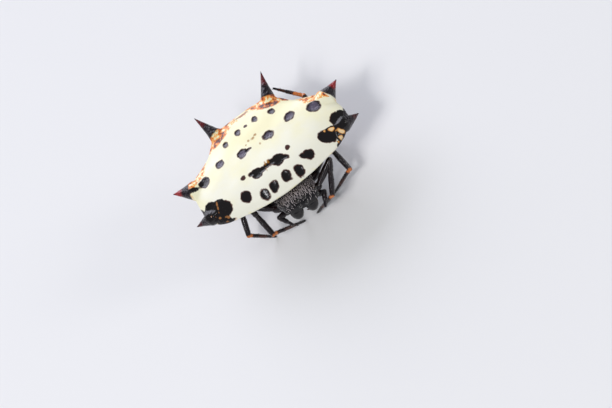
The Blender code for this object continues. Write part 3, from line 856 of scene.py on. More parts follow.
def wrinkle(tree, shader, place, scale, weight, depth):
    """Roughen a surface with fine wrinkles, their depth in millimetres."""
    inputs = {"Place": place, "Scale": scale, "Weight": weight}
    height = placed_group(tree, wrinkle_group(), inputs).outputs["Height"]
    inputs = {"Height": height, "Distance": depth * MM, "Strength": 1.0}
    tree.links.new(add_node(tree, "ShaderNodeBump", inputs).outputs[0], shader.inputs["Normal"])


def set_gloss(shader, **values):
    for name, value in values.items():
        shader.inputs[name.replace("_", " ")].default_value = value


def product(tree, *values):
    total = values[0]
    for value in values[1:]:
        total = compute(tree, "MULTIPLY", total, value)
    return total


def largest(tree, *values):
    total = values[0]
    for value in values[1:]:
        total = compute(tree, "MAXIMUM", total, value)
    return total


def mottle_colour(tree, place, scale, lightness):
    tones = colours()
    return placed_group(tree, mottling_group(), {
        "Place": place, "Scale": scale, "Lightness": lightness, "Dark": (*tones.rust, 1.0),
        "Middle": (*tones.orange, 1.0), "Bright": (*tones.amber, 1.0),
        "Light": (*tones.enamel_rear, 1.0)}).outputs["Color"]


def mark_distance(tree, name, uneven):
    """Distance from the marks of one kind, made uneven for a natural outline."""
    return compute(tree, "ADD", field(tree, name), uneven)


def marked(tree, colour, name, uneven, edge, *masks):
    """Paint the marks of one kind over a colour, softened between the two distances of their edge."""
    mask = product(tree, ramp(tree, mark_distance(tree, name, uneven), *edge), *masks)
    return blended(tree, mask, colour, getattr(colours(), name))


def plate_material():
    """Cream enamel, black pits with a painted sky reflection in the rear ones, mottled rims, black and red
    spines and a dark belly.
    """
    material, tree, shader = new_material("plate_enamel")
    tones = colours()
    place = animal_place(tree)
    drift = compute(tree, "SUBTRACT", noise_value(tree, place, 2.6), 0.5)
    uneven = product(tree, drift, 0.28)
    axes = add_node(tree, "ShaderNodeSeparateXYZ", {0: place}).outputs
    aside = compute(tree, "ABSOLUTE", axes[0])
    forward = axes[1]
    rim = field(tree, "rim")
    thorn = field(tree, "thorn")
    grain = compute(tree, "SUBTRACT", noise_value(tree, place, 3.2), 0.5)

    rearness = compute(tree, "ADD", product(tree, forward, -0.16), noise_value(tree, place, 0.8))
    colour = blended(tree, ramp(tree, rearness, 0.35, 1.15), tones.enamel, tones.enamel_rear)

    ragged = product(tree, grain, ramp(tree, forward, -3.9, -2.9, 0.1, 0.8))
    shelf = compute(tree, "ADD", field(tree, "shelf"), ragged)
    near_spine = largest(tree, ramp(tree, thorn, -0.6, -0.36), ramp(tree, aside, 3.2, 3.9))
    shadow = product(
        tree, ramp(tree, shelf, 0.34, 0.15), ramp(tree, aside, 1.2, 1.5), ramp(tree, aside, 2.7, 2.4),
        ramp(tree, forward, -3.6, -3.9), 0.15)
    outer = product(tree, ramp(tree, rim, 0.955, 0.99), 0.06)
    lightness = compute(tree, "SUBTRACT", ramp(tree, near_spine, 0.0, 1.0, 0.22, 0.07), shadow)
    lightness = compute(tree, "SUBTRACT", lightness, outer)
    upper = ramp(tree, rim, 1.0, 0.985)
    rim_here = compute(tree, "ADD", rim, product(tree, grain, 0.12))
    rear_rim = product(tree, ramp(tree, shelf, -0.01, 0.03), upper)
    thorn_here = compute(tree, "ADD", thorn, product(tree, grain, 0.15))
    thorn_bed = product(tree, ramp(tree, thorn_here, -0.5, -0.42), ramp(tree, forward, -2.3, -2.42))
    mottled = largest(tree, rear_rim, ramp(tree, rim_here, 0.995, 1.02), thorn_bed)
    colour = blended(tree, mottled, colour, mottle_colour(tree, place, 3.2, lightness))
    colour = marked(tree, colour, "streak", uneven, (0.04, -0.05), upper, 0.85)

    foot = product(tree, ramp(tree, thorn_here, -0.42, -0.36), ramp(tree, forward, -0.7, -0.6))
    bed = ramp(tree, mark_distance(tree, "bed", uneven), 0.03, -0.02)
    bed = compute(tree, "MAXIMUM", product(tree, bed, ramp(tree, rim, 1.08, 1.04)), foot)
    colour = blended(tree, bed, colour, tones.pit)
    pit_distance = mark_distance(tree, "pit", uneven)
    off_bed = compute(tree, "SUBTRACT", 1.0, bed)
    edge = product(tree, ramp(tree, pit_distance, 0.075, 0.0), upper, off_bed)
    core = product(tree, ramp(tree, pit_distance, 0.01, -0.04), upper)
    colour = blended(tree, edge, colour, tones.pit_edge)
    # Painted sky reflection: behind the middle, apart from the right side pit, the pit centres turn lilac
    # grey in place of black, standing in for the bright sky mirrored in them
    reflected_sky = product(
        tree, ramp(tree, forward, -0.9, -1.8), ramp(tree, axes[0], -4.1, -3.6),
        ramp(tree, pit_distance, -0.04, -0.16))
    colour = blended(tree, core, colour, blended(tree, reflected_sky, tones.pit, tones.pit_sky_reflection))
    colour = marked(tree, colour, "dot", uneven, (0.02, -0.04), upper)
    colour = marked(tree, colour, "fleck", uneven, (0.04, -0.04), upper, 0.8)
    colour = marked(tree, colour, "gap", uneven, (0.03, -0.02), upper, 0.85)
    blob_distance = mark_distance(tree, "blob", uneven)
    blob = product(tree, ramp(tree, blob_distance, 0.04, 0.01), upper)
    blob_colour = blended(tree, ramp(tree, blob_distance, 0.03, -0.03), tones.dot, tones.amber)
    blob_colour = blended(tree, ramp(tree, blob_distance, -0.01, -0.06), blob_colour, tones.cream)
    colour = blended(tree, blob, colour, blob_colour)

    spots = noise_value(tree, place, 1.7, 2.0)
    belly = blended(tree, ramp(tree, spots, 0.62, 0.66), tones.belly, tones.enamel_rear)
    under = ramp(tree, rim_here, 1.08, 1.12)
    colour = blended(tree, under, colour, belly)

    red = product(
        tree, ramp(tree, thorn_here, 0.4, 0.6), ramp(tree, thorn_here, 0.95, 0.85), field(tree, "redness"))
    horn = blended(tree, red, tones.thorn, tones.thorn_red)
    spine = ramp(tree, thorn_here, -0.02, 0.06)
    colour = blended(tree, spine, colour, horn)
    tree.links.new(colour, shader.inputs["Base Color"])

    dark = largest(tree, core, spine, bed)
    rough = compute(tree, "ADD", ramp(tree, dark, 0.0, 1.0, 0.36, 0.16), product(tree, under, 0.2))
    tree.links.new(rough, shader.inputs["Roughness"])
    speckled = product(tree, core, ramp(tree, forward, 0.3, -1.5, 0.12, 0.45))
    weight = largest(tree, spine, under, product(tree, bed, 0.4), speckled, 0.05)
    wrinkle(tree, shader, place, 6.0, weight, 0.05)
    set_gloss(shader, Specular_IOR_Level=0.32, Coat_Weight=0.12, Coat_Roughness=0.08)
    return material


def dark_skin_material(name, tone, roughness, grain, depth):
    """Glossy black-brown skin with fine grain."""
    material, tree, shader = new_material(name)
    place = animal_place(tree)
    cloud = noise_value(tree, place, 2.2, 3.0)
    lighter = tuple(min(channel * 2.0 + 0.002, 1.0) for channel in tone)
    colour = blended(tree, ramp(tree, cloud, 0.45, 0.75), tone, lighter)
    tree.links.new(colour, shader.inputs["Base Color"])
    tree.links.new(ramp(tree, cloud, 0.3, 0.8, roughness, roughness + 0.08), shader.inputs["Roughness"])
    wrinkle(tree, shader, place, grain, 1.0, depth)
    set_gloss(shader, Specular_IOR_Level=0.3, Coat_Weight=0.12, Coat_Roughness=0.06)
    return material


def limb_material():
    """Black-brown limbs with orange rings at the joints, by the station along the limb."""
    material, tree, shader = new_material("limb_skin")
    tones = colours()
    place = animal_place(tree)
    drift = compute(tree, "SUBTRACT", noise_value(tree, place, 5.0), 0.5)
    station = compute(tree, "ADD", field(tree, "station"), product(tree, drift, 0.16))
    made = add_node(tree, "ShaderNodeValToRGB", {0: compute(tree, "DIVIDE", station, LAST_STATION)})
    stops = made.color_ramp
    stops.interpolation = "LINEAR"
    for end in stops.elements:
        end.color = (*tones.leg, 1.0)
    for position, name in LIMB_TONES:
        stop = stops.elements.new(position / LAST_STATION)
        stop.color = (*getattr(tones, name), 1.0)
    cloud = noise_value(tree, place, 3.0, 3.0)
    shade = ramp(tree, cloud, 0.35, 0.7)
    colour = blended(tree, compute(tree, "MULTIPLY", shade, 0.1), made.outputs[0], tones.leg_brown)
    tree.links.new(colour, shader.inputs["Base Color"])
    tree.links.new(ramp(tree, cloud, 0.3, 0.8, 0.13, 0.26), shader.inputs["Roughness"])
    wrinkle(tree, shader, place, 6.0, 1.0, 0.02)
    set_gloss(shader, Specular_IOR_Level=0.4, Coat_Weight=0.3, Coat_Roughness=0.06)
    return material


def hair_material(name, tone, roughness):
    """Hair that is darker at its root, with a tone of its own."""
    material, tree, shader = new_material(name)
    root = tuple(channel * 0.35 for channel in tone)
    shade = ramp(tree, field(tree, "tone"), 0.0, 1.0)
    tree.links.new(blended(tree, shade, root, tone), shader.inputs["Base Color"])
    set_gloss(shader, Roughness=roughness)
    return material


def eye_material():
    """A clear black lens in a duller collar."""
    material, tree, shader = new_material("eye_lens")
    dome = field(tree, "dome")
    colour = blended(tree, ramp(tree, dome, 0.0, 0.35), colours().carapace, colours().eye)
    tree.links.new(colour, shader.inputs["Base Color"])
    tree.links.new(ramp(tree, dome, 0.0, 0.3, 0.4, 0.06), shader.inputs["Roughness"])
    set_gloss(shader, Coat_Weight=1.0, Coat_Roughness=0.03)
    return material


def spine_list():
    """Root, base, tip, radius and redness of all six spines."""
    rows = []
    for side_name, side in SIDES.items():
        for name, (*places, radius, redness) in SPINES.items():
            root, base, tip = [at(mirrored(place, side)) for place in places]
            rows.append((f"spine_{name}_{side_name}", root, base, tip, radius, redness))
    return rows


def model_spine(name, root, base, tip, radius):
    """A tapering spine from its base to its tip, with a root sunk into the plate."""
    length = (tip - base).length
    sunk = (root - base).length
    profile = [(-sunk, radius * SPINE_ROOT)]
    profile += [(share * length, radius * size) for share, size in SPINE_TAPER]
    spine = drawn_form(name, profile, SPINE_SIDES)
    places = points(spine)
    inward = places[:, 2] < -sunk / 2.0
    turn = (tip - base).to_track_quat("Z", "Y").to_matrix()
    moved = places @ np.array(turn).T + np.array(base)
    moved[inward] += np.array(root) - (np.array(base) - sunk * np.array((tip - base).normalized()))
    move_points(spine, moved)
    return spine


def nearest_spine(places):
    """For each place, how far it is along its nearest spine: 0 at the base and 1 at the tip."""
    along = np.full(len(places), -1e3)
    redness = np.zeros(len(places))
    for _, _, base, tip, _, red in spine_list():
        length = (tip - base).length
        here = 1.0 - np.linalg.norm(places - np.array(tip), axis=1) / length
        redness = np.where(here > along, red, redness)
        along = np.maximum(along, here)
    return along, redness


def side_lean(places):
    """How far each place of the plate is moved by the lean of its side margins."""
    across = (np.abs(places[:, 0]) - LEAN_PLACE[0]) / LEAN_SPREAD[0]
    along = (-places[:, 1] - LEAN_PLACE[1]) / LEAN_SPREAD[1]
    weights = np.exp(-across ** 2 - along ** 2)
    return weights[:, None] * np.array((LEAN[0], -LEAN[1], 0.0))


def press_pits(piece):
    """Press shallow dishes with a low lip into the plate, and a step along its rear rim."""
    places = points(piece)
    facing = normals(piece)
    left = places[:, 0]
    forward = -places[:, 1]
    upper = smooth_step(*PITS_FACING, facing[:, 2])
    depth = sizes().pit_depth / MM
    lip_height, lip_place, lip_width = PIT_LIP
    push = np.zeros(len(places))
    for pit in PITS:
        reach = oval_distance(left, forward, pit) / min(pit[2:4]) + 1.0
        push = np.minimum(push, -depth * np.maximum(1.0 - reach ** 2, 0.0))
        push += lip_height * depth * np.exp(-((reach - lip_place) / lip_width) ** 2)
    rear = smooth_step(*CREST_FORWARD, forward)
    push -= CREST_STEP * smooth_step(*CREST_EDGE, crest_distance(left, forward)) * rear
    along, _ = nearest_spine(places)
    push *= upper * smooth_step(*PITS_END, along)
    push += waves(places, PLATE_WAVES) * smooth_step(0.6, 0.2, along)
    push += waves(places, SPINE_GRAIN) * smooth_step(0.0, 0.15, along) * smooth_step(0.8, 0.5, along)
    move_points(piece, places + facing * push[:, None])


def sharpen_spines(piece):
    """Draw the outer halves of the spines out to their full length and their slender taper."""
    places = points(piece)
    for _, _, base, tip, radius, _ in spine_list():
        way = np.array((tip - base).normalized())
        length = (tip - base).length
        start = length * SHARP_FROM
        along = (places - np.array(base)) @ way
        across = places - np.array(base) - along[:, None] * way
        off_axis = np.linalg.norm(across, axis=1)
        outer = np.flatnonzero((along > start) & (off_axis < radius))
        end = along[outer].max()
        stretched = start + (along[outer] - start) * (length - start) / (end - start)
        target = radius * np.interp(stretched / length, *zip(*SPINE_TAPER))
        ease = smooth_step(start, length * SHARP_FULL, stretched)
        widths = off_axis[outer] + (target - off_axis[outer]) * ease
        near_end = smooth_step(length, length * SHARP_POINT, stretched)
        widths = np.minimum(widths, off_axis[outer] + target * near_end)
        growth = widths / np.maximum(off_axis[outer], LEAST_LENGTH)
        places[outer] = np.array(base) + stretched[:, None] * way + across[outer] * growth[:, None]
    move_points(piece, places)


def build_plate():
    """Plate and belly with six spines flowing out of it, as one closed shell."""
    plate = PLATE.model("plate_shell", PLATE_MESH)
    spines = [model_spine(*row[:-1]) for row in spine_list()]
    plate = join("plate_shell", [plate, *spines])
    apply_modifier(plate, "REMESH", mode="VOXEL", voxel_size=PLATE_VOXEL, adaptivity=0.0)
    apply_modifier(plate, "SMOOTH", factor=0.5, iterations=PLATE_SMOOTHING)
    along, _ = nearest_spine(points(plate))
    fillet = plate.vertex_groups.new(name="fillet")
    weights = np.exp(-((along - FILLET_PLACE) / FILLET_REACH) ** 2)
    for index in np.flatnonzero(weights > LEAST_FILLET):
        fillet.add([int(index)], float(weights[index]), "REPLACE")
    apply_modifier(plate, "SMOOTH", factor=0.5, iterations=FILLET_SMOOTHING, vertex_group="fillet")
    plate.vertex_groups.clear()
    sharpen_spines(plate)
    move_points(plate, points(plate) + side_lean(points(plate)))
    press_pits(plate)
    places = points(plate)
    for name, ovals in MARKS.items():
        set_field(plate, name, marks_distance(places, ovals))
    places = places - side_lean(places)
    left = places[:, 0]
    forward = -places[:, 1]
    share = np.minimum(PLATE.share(left, forward), 1.0)
    middle = (PLATE.height(left, forward, True) + PLATE.height(left, forward, False)) / 2.0
    along, redness = nearest_spine(places)
    set_field(plate, "rim", np.where(places[:, 2] < middle, 2.0 - share, share))
    set_field(plate, "shelf", crest_distance(left, forward))
    set_field(plate, "thorn", along)
    set_field(plate, "redness", redness)
    settle(plate, plate_material(), "plate", "abdomen")


def eye_nodes():
    return sorted(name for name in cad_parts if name.startswith("eye_"))


def build_carapace():
    """Head and thorax with mounds under the eyes."""
    carapace = CARAPACE.model("carapace_shell", HEAD_MESH)
    places = points(carapace)
    facing = normals(carapace)
    inverse = head_frame().inverted()
    push = waves(places, CARAPACE_WAVES)
    for node in eye_nodes():
        centre, _ = eye_place(node)
        offset = np.linalg.norm(places - np.array(inverse @ centre), axis=1)
        push += EYE_MOUND * np.exp(-(offset / EYE_MOUND_SPREAD) ** 2)
    move_points(carapace, places + facing * push[:, None])
    carapace.data.transform(head_frame())
    material = dark_skin_material("carapace_skin", colours().carapace, 0.14, 8.0, 0.01)
    settle(carapace, material, "carapace", "cephalothorax")


def eye_place(node):
    """Centre and radius of a solid eye, in the modelling millimetres."""
    low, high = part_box(node)
    centre = ((low + high) / 2.0 - SHIFT) / MM
    return centre, (high.x - low.x) / 2.0 / MM


def build_eyes():
    """Eight domed lenses, each in a low collar."""
    pattern = drawn_form("eye_pattern", EYE_PROFILE, EYE_SIDES)
    set_field(pattern, "dome", smooth_step(*EYE_COLLAR, points(pattern)[:, 2]))
    middle = head_frame() @ Vector(EYE_LOOK_FROM)
    material = eye_material()
    for node in eye_nodes():
        centre, radius = eye_place(node)
        lens = copy_of(pattern, node.replace("eye_", "lens_"))
        turn = (centre - middle).to_track_quat("Z", "Y").to_matrix().to_4x4()
        lens.data.transform(Matrix.Translation(centre) @ turn @ Matrix.Scale(radius * EYE_SINK, 4))
        settle(lens, material, "eyes", node)
    remove(pattern)


def drawn_along(name, joints, profile, sides, matrix=None, flatten=1.0):
    """A round form laid along three joints of the animal."""
    piece = drawn_form(name, profile, sides)
    places = [at(joint) for joint in joints]
    if matrix:
        places = [matrix @ place for place in places]
    lay_along(piece, places, flatten)
    return piece


def build_jaws():
    """Two swollen jaws that hang from the face, each with a folded fang."""
    jaw_skin = dark_skin_material("jaw_skin", colours().carapace, 0.12, 7.0, 0.004)
    fang_skin = dark_skin_material("fang_horn", colours().fang, 0.15, 6.0, 0.004)
    for side_name, side in SIDES.items():
        joints = [mirrored(joint, side) for joint in JAW_JOINTS]
        jaw = drawn_along(
            f"jaw_{side_name}", joints, JAW_PROFILE, JAW_SIDES, head_frame(), JAW_FLATNESS)
        settle(jaw, jaw_skin, "jaws", f"chelicera_{side_name}")
        joints = [mirrored(joint, side) for joint in FANG_JOINTS]
        fang = drawn_along(f"fang_{side_name}", joints, FANG_PROFILE, FANG_SIDES, head_frame())
        settle(fang, fang_skin, "jaws")


def segment_profile(root, end, swellings, length):
    """Girth along one leg segment, with a rounded cap at each end, on a length of 1."""
    rows = []
    for step in CAP_STEPS[:-1]:
        angle = CAP_REACH * step
        rows.append((-root / length * math.cos(angle), root * max(math.sin(angle), CAP_FLAT)))
    for share, size in swellings:
        rows.append((share, (root + (end - root) * share) * size))
    for step in CAP_STEPS:
        angle = CAP_REACH * step
        rows.append((1.0 + end / length * math.sin(angle), end * max(math.cos(angle), CAP_FLAT)))
    return rows


def leg_segment(name, kind, start, end, station, girth):
    """One segment from joint to joint, with its station along the limb kept for its colours."""
    root, tip, swellings = SEGMENTS[kind]
    length = (end - start).length
    profile = segment_profile(root * girth, tip * girth, swellings, length)
    piece = drawn_form(name, profile, SEGMENT_SIDES)
    shares = points(piece)[:, 2]
    set_field(piece, "station", station + np.clip(shares, -0.08, 1.04))
    turn = (end - start).to_track_quat("Z", "Y").to_matrix().to_4x4()
    stretch = Matrix.Diagonal((1.0, 1.0, length, 1.0))
    piece.data.transform(Matrix.Translation(start) @ turn @ stretch)
    return piece


def leg_runs(joints):
    """Kind, start, end and station of each segment of a leg."""
    hip, trochanter, knee, ankle, foot = [at(joint) for joint in joints]
    foot.z = max(foot.z, FOOT_RISE)
    patella_end = knee.lerp(ankle, PATELLA_SHARE)
    metatarsus_end = ankle.lerp(foot, METATARSUS_SHARE)
    return (
        ("coxa", hip, trochanter, 1.0), ("femur", trochanter, knee, 2.0),
        ("patella", knee, patella_end, 3.0), ("tibia", patella_end, ankle, 4.0),
        ("metatarsus", ankle, metatarsus_end, 5.0), ("tarsus", metatarsus_end, foot, 6.0))


def palp_runs(joints):
    """The same for a palp, which has no orange ring."""
    root, trochanter, knee, tip = [at(joint) for joint in joints]
    patella_end = knee.lerp(tip, PATELLA_SHARE)
    tibia_end = knee.lerp(tip, PALP_TIBIA_SHARE)
    return (
        ("coxa", root, trochanter, 0.0), ("femur", trochanter, knee, 0.5),
        ("patella", knee, patella_end, 1.0), ("tibia", patella_end, tibia_end, 1.0),
        ("metatarsus", tibia_end, tip, 1.0))


def build_limb(name, runs, girth, material, slot, node):
    """Join the segments of one limb, with the raised leg's stations set for its orange part."""
    pieces = [leg_segment(f"{name}_{kind}", kind, start, end, station, girth)
              for kind, start, end, station in runs]
    limb = join(name, pieces)
    if node == RAISED_LEG:
        station = np.empty(len(limb.data.vertices), dtype=np.float32)
        limb.data.attributes["station"].data.foreach_get("value", station)
        set_field(limb, "station", np.interp(station, *zip(*RAISED_STATIONS)))
    settle(limb, material, slot, node)


def build_claws(name, runs, material):
    """A pair of curved claws at the end of each leg."""
    _, start, end, _ = runs[-1]
    way = (end - start).normalized()
    side = way.cross(Vector((0, 0, 1)))
    side = side.normalized() if side.length > 1e-3 else Vector((1, 0, 0))
    out = way - Vector((0, 0, 1)) * way.z
    out = out.normalized() if out.length > 1e-3 else way
    claws = []
    for spread in (-CLAW_SPREAD, CLAW_SPREAD):
        root = end - way * CLAW_SINK + side * spread * CLAW_PARTING[0]
        bend = root + way * CLAW_REACH + side * spread + out * CLAW_OUT[0]
        tip = bend + out * CLAW_OUT[1] + side * spread * CLAW_PARTING[1]
        for place, least in zip((root, bend, tip), CLAW_LEAST_HEIGHTS):
            place.z = max(place.z, least)
        claw = drawn_form(name, CLAW_PROFILE, CLAW_SIDES)
        lay_along(claw, (root, bend, tip))
        claws.append(claw)
    settle(join(name, claws), material, "legs")


def build_waist():
    """The narrow tube between carapace and plate."""
    waist = drawn_along("waist_tube", WAIST, WAIST_PROFILE, WAIST_SIDES)
    material = dark_skin_material("waist_skin", colours().waist, 0.4, 9.0, 0.02)
    settle(waist, material, "waist", "pedicel")


def build_spinnerets():
    """A raised ring below the belly with three pairs of spinnerets inside it."""
    left, forward = BELLY_PLACE
    level = float(belly_level(left, forward))
    ring_profile = [(-height, radius) for height, radius in SPINNERET_RING]
    ring = drawn_form("spinneret_group", ring_profile, RING_SIDES)
    ring.data.transform(Matrix.Translation(at((left, forward, level - RING_FALL))))
    recalculate_normals(ring)
    pieces = [ring]
    for name, across, along, radius, drop in SPINNERETS:
        profile = [(share, radius * size) for share, size in SPINNERET_SHAPE]
        for side_name, side in SIDES.items():
            joints = [
                (left + across * side * aside, forward + along * ahead, level - down - drop * share)
                for aside, ahead, down, share in SPINNERET_PATH]
            pieces.append(drawn_along(f"{name}_{side_name}", joints, profile, SPINNERET_SIDES))
    material = dark_skin_material("spinneret_skin", colours().spinneret, 0.35, 8.0, 0.03)
    settle(join("spinneret_group", pieces), material, "spinnerets", "spinnerets")


def hair_pattern(sides):
    """Vertices and faces of one hair along +Z, modelled once."""
    pattern = drawn_form("hair_pattern", HAIR_SHAPE, sides)
    places = points(pattern)
    faces = [tuple(polygon.vertices) for polygon in pattern.data.polygons]
    remove(pattern)
    return places, faces


def grow_hairs(name, roots, material, slot, sides=4, flatness=0.4):
    """Set a hair on each (place, normal, lie, length, width, patch, tone), as one mesh."""
    places, faces = hair_pattern(sides)
    loops = np.array([vertex for face in faces for vertex in face])
    vertices = []
    polygons = []
    patches = []
    tones = []
    for place, normal, lie, length, width, patch, tone in roots:
        place, normal, lie = (np.array(value, dtype=float) for value in (place, normal, lie))
        across = np.cross(lie, normal)
        across /= np.linalg.norm(across)
        share = places[:, 2:3]
        rise = normal * share * (1.0 - HAIR_CURL * share) * HAIR_RISE
        bend = rise + lie * (HAIR_LIE[0] * share + HAIR_LIE[1] * share ** 2)
        thickness = np.cross(across, lie + normal * HAIR_TILT)
        ring = across * places[:, :1] * width + thickness * places[:, 1:2] * width * flatness
        base = len(vertices) * len(places)
        vertices.append(place + bend * length + ring - normal * HAIR_ROOT)
        polygons += [tuple(base + vertex for vertex in face) for face in faces]
        patches.append(np.array(patch) + (places[:, [0, 2]] + (0.5, 0.0)) * PATCH)
        tones.append(np.clip(share[:, 0] * TONE_RISE + tone, 0.0, 1.0))
    mesh = bpy.data.meshes.new(name)
    mesh.from_pydata(np.concatenate(vertices).tolist(), [], polygons)
    hairs = bpy.data.objects.new(name, mesh)
    bpy.context.scene.collection.objects.link(hairs)
    unwrap = mesh.uv_layers.new(name="OFBake")
    spots = np.concatenate([patch[loops] for patch in patches])
    unwrap.data.foreach_set("uv", spots.ravel())
    set_field(hairs, "tone", np.concatenate(tones))
    recalculate_normals(hairs)
    settle(hairs, material, slot)


def carapace_roots():
    """Rows of short hairs over the carapace, lying forward, thinner towards the face."""
    draw = np.random.default_rng(HAIR_SEED)
    matrix = head_frame()
    turn = matrix.to_3x3()
    length = sizes().hair_length / MM
    width = sizes().hair_width / MM
    step = SLOPE_STEP
    roots = []
    forward, last_forward = HAIR_FORWARD
    row = 0
    while forward < last_forward:
        left = -HAIR_ASIDE + (row % 2) * HAIR_STEP / 2.0
        while left < HAIR_ASIDE:
            x = left + draw.normal(0.0, HAIR_SCATTER[0])
            y = forward + draw.normal(0.0, HAIR_SCATTER[1])
            share = float(CARAPACE.share(x, y))
            keep = 1.0 - HAIR_THINNING * float(smooth_step(*FACE_FORWARD, y))
            lucky = draw.random() < keep
            tone = draw.uniform(*HAIR_TONES)
            size = draw.uniform(*HAIR_SIZES)
            lean = draw.normal(0.0, HAIR_LEAN)
            if share < HAIR_EDGE and lucky:
                heights = [float(CARAPACE.height(x + dx, y + dy, True))
                           for dx, dy in ((0, 0), (step, 0), (-step, 0), (0, step), (0, -step))]
                slope = Vector((heights[2] - heights[1], heights[3] - heights[4], 2 * step))
                normal = slope.normalized()
                lie = Vector((lean, -1.0, 0.0))
                lie = (lie - normal * lie.dot(normal)).normalized()
                place = matrix @ Vector((x, -y, heights[0]))
                angle = math.atan2(x, y)
                patch = (0.5 + 0.45 * share * math.sin(angle), 0.5 + 0.45 * share * math.cos(angle))
                roots.append((place, turn @ normal, turn @ lie, length * size, width * size, patch, tone))
            left += HAIR_STEP
        forward += HAIR_ROW
        row += 1
    return roots


def limb_roots(runs, index, count, draw):
    """Short dark hairs that lean towards the foot, on every segment past the coxa."""
    roots = []
    lengths = [(end - start).length for _, start, end, _ in runs[1:]]
    for _ in range(count):
        pick = int(draw.choice(len(lengths), p=np.array(lengths) / sum(lengths)))
        kind, start, end, station = runs[1 + pick]
        share = draw.uniform(*LEG_HAIR_SHARES)
        angle = draw.uniform(0.0, math.tau)
        root, tip, _ = SEGMENTS[kind]
        radius = (root + (tip - root) * share) * sizes().leg_girth
        turn = (end - start).to_track_quat("Z", "Y").to_matrix()
        normal = turn @ Vector((math.cos(angle), math.sin(angle), 0.0))
        way = (end - start).normalized()
        place = start.lerp(end, share) + normal * radius * LEG_HAIR_SINK
        first, spacing, width = LEG_COLUMNS
        column = first + spacing * index + width * angle / math.tau
        lowest, tallness = LEG_ROWS
        past_coxa = station - FEMUR_STATION + share
        patch = (column, lowest + tallness * past_coxa / (LAST_STATION - FEMUR_STATION))
        size = draw.uniform(*LEG_HAIR_SIZES)
        if place.z > LEG_HAIR_HEIGHT:
            tone = draw.uniform(*LEG_HAIR_TONES)
            roots.append((place, normal, way, size, LEG_HAIR_WIDTH, patch, tone))
    return roots


def build_hairs():
    """Pale hairs in rows on the carapace, and short dark ones on the legs."""
    pale = hair_material("pale_hair", colours().hair, 0.45)
    dark = hair_material("dark_hair", colours().dark_hair, 0.4)
    grow_hairs("carapace_hairs", carapace_roots(), pale, "carapace")
    draw = np.random.default_rng(HAIR_SEED + 1)
    roots = []
    for index, (name, joints) in enumerate(LEG_JOINTS.items()):
        roots += limb_roots(leg_runs(joints), index, LEG_HAIRS, draw)
    grow_hairs("leg_hairs", roots, dark, "legs", sides=3, flatness=1.0)


def build_legs():
    """Eight legs in six segments each, with a pair of claws."""
    material = limb_material()
    horn = dark_skin_material("claw_horn", colours().claw, 0.25, 9.0, 0.004)
    for name, joints in LEG_JOINTS.items():
        runs = leg_runs(joints)
        build_limb(f"{name}_skin", runs, sizes().leg_girth, material, "legs", name)
        build_claws(name.replace("leg", "claws"), runs, horn)


def build_palps():
    """Two short palps beside the jaws."""
    material = bpy.data.materials.get("limb_skin") or limb_material()
    for side_name, joints in PALP_JOINTS.items():
        node = f"palp_{side_name}"
        build_limb(f"{node}_skin", palp_runs(joints), PALP_GIRTH, material, "palps", node)


def add_light(name, place, width, height, power, tone):
    """A soft rectangular light that looks at the model, at a place in millimetres."""
    data = bpy.data.lights.new(name, "AREA")
    data.shape = "RECTANGLE"
    data.size = width * MM
    data.size_y = height * MM
    data.energy = power
    data.color = tone
    light = bpy.data.objects.new(name, data)
    bpy.context.scene.collection.objects.link(light)
    light.location = Vector(place) * MM
    light.rotation_mode = "QUATERNION"
    light.rotation_quaternion = (Vector(LIGHT_AIM) - Vector(place)).to_track_quat("-Z", "Y")
    return light


def build_stage():
    """A plain pale floor, soft light, and the photo's camera."""
    clear_selection()
    bpy.ops.mesh.primitive_plane_add(size=FLOOR_SIZE)
    floor = newest("floor")
    material, tree, shader = new_material("floor_paper")
    cloud = noise_value(tree, animal_place(tree), 0.02)
    tone = colours().floor
    paler = tuple(channel * 1.03 for channel in tone)
    tree.links.new(blended(tree, cloud, tone, paler), shader.inputs["Base Color"])
    set_gloss(shader, Roughness=0.9)
    floor.data.materials.append(material)

    world = bpy.data.worlds.new("studio")
    world.use_nodes = True
    backdrop = world.node_tree.nodes["Background"]
    backdrop.inputs["Color"].default_value = (*SKY_TONE, 1.0)
    backdrop.inputs["Strength"].default_value = SKY_STRENGTH
    bpy.context.scene.world = world
    bpy.context.scene.view_settings.view_transform = "Standard"
    for name, (*values, spread, glossy) in LIGHTS.items():
        light = add_light(name, *values)
        light.data.spread = math.radians(spread)
        light.visible_glossy = glossy

    camera = bpy.data.objects.new("camera", bpy.data.cameras.new("camera"))
    bpy.context.scene.collection.objects.link(camera)
    camera.data.lens = CAMERA_LENS
    camera.data.sensor_width = CAMERA_SENSOR
    camera.data.clip_start, camera.data.clip_end = CAMERA_CLIP
    right = Vector((math.cos(CAMERA_AZIMUTH), math.sin(CAMERA_AZIMUTH), 0.0))
    back = Vector((
        math.sin(CAMERA_AZIMUTH) * math.cos(CAMERA_ELEVATION),
        -math.cos(CAMERA_AZIMUTH) * math.cos(CAMERA_ELEVATION), math.sin(CAMERA_ELEVATION)))
    up = back.cross(right)
    across = right * math.cos(CAMERA_ROLL) - up * math.sin(CAMERA_ROLL)
    above = right * math.sin(CAMERA_ROLL) + up * math.cos(CAMERA_ROLL)
    aim = SHIFT + (at(CAMERA_AIM) + across * CAMERA_OFFSET[0] + above * CAMERA_OFFSET[1]) * MM
    turn = Matrix((across, above, back)).transposed().to_4x4()
    camera.matrix_world = Matrix.Translation(aim + back * CAMERA_DISTANCE * MM) @ turn
    bpy.context.scene.camera = camera


class WEAVER_OT_plate(bpy.types.Operator):
    """Build the plate with its pits, belly and six spines"""
    bl_idname = "weaver.plate"
    bl_label = "Plate"
    bl_options = {"REGISTER", "UNDO"}

    def execute(self, context):
        build_plate()
        return {"FINISHED"}


class WEAVER_OT_carapace(bpy.types.Operator):
    """Build the head and thorax"""
    bl_idname = "weaver.carapace"
    bl_label = "Carapace"
    bl_options = {"REGISTER", "UNDO"}

    def execute(self, context):
        build_carapace()
        return {"FINISHED"}


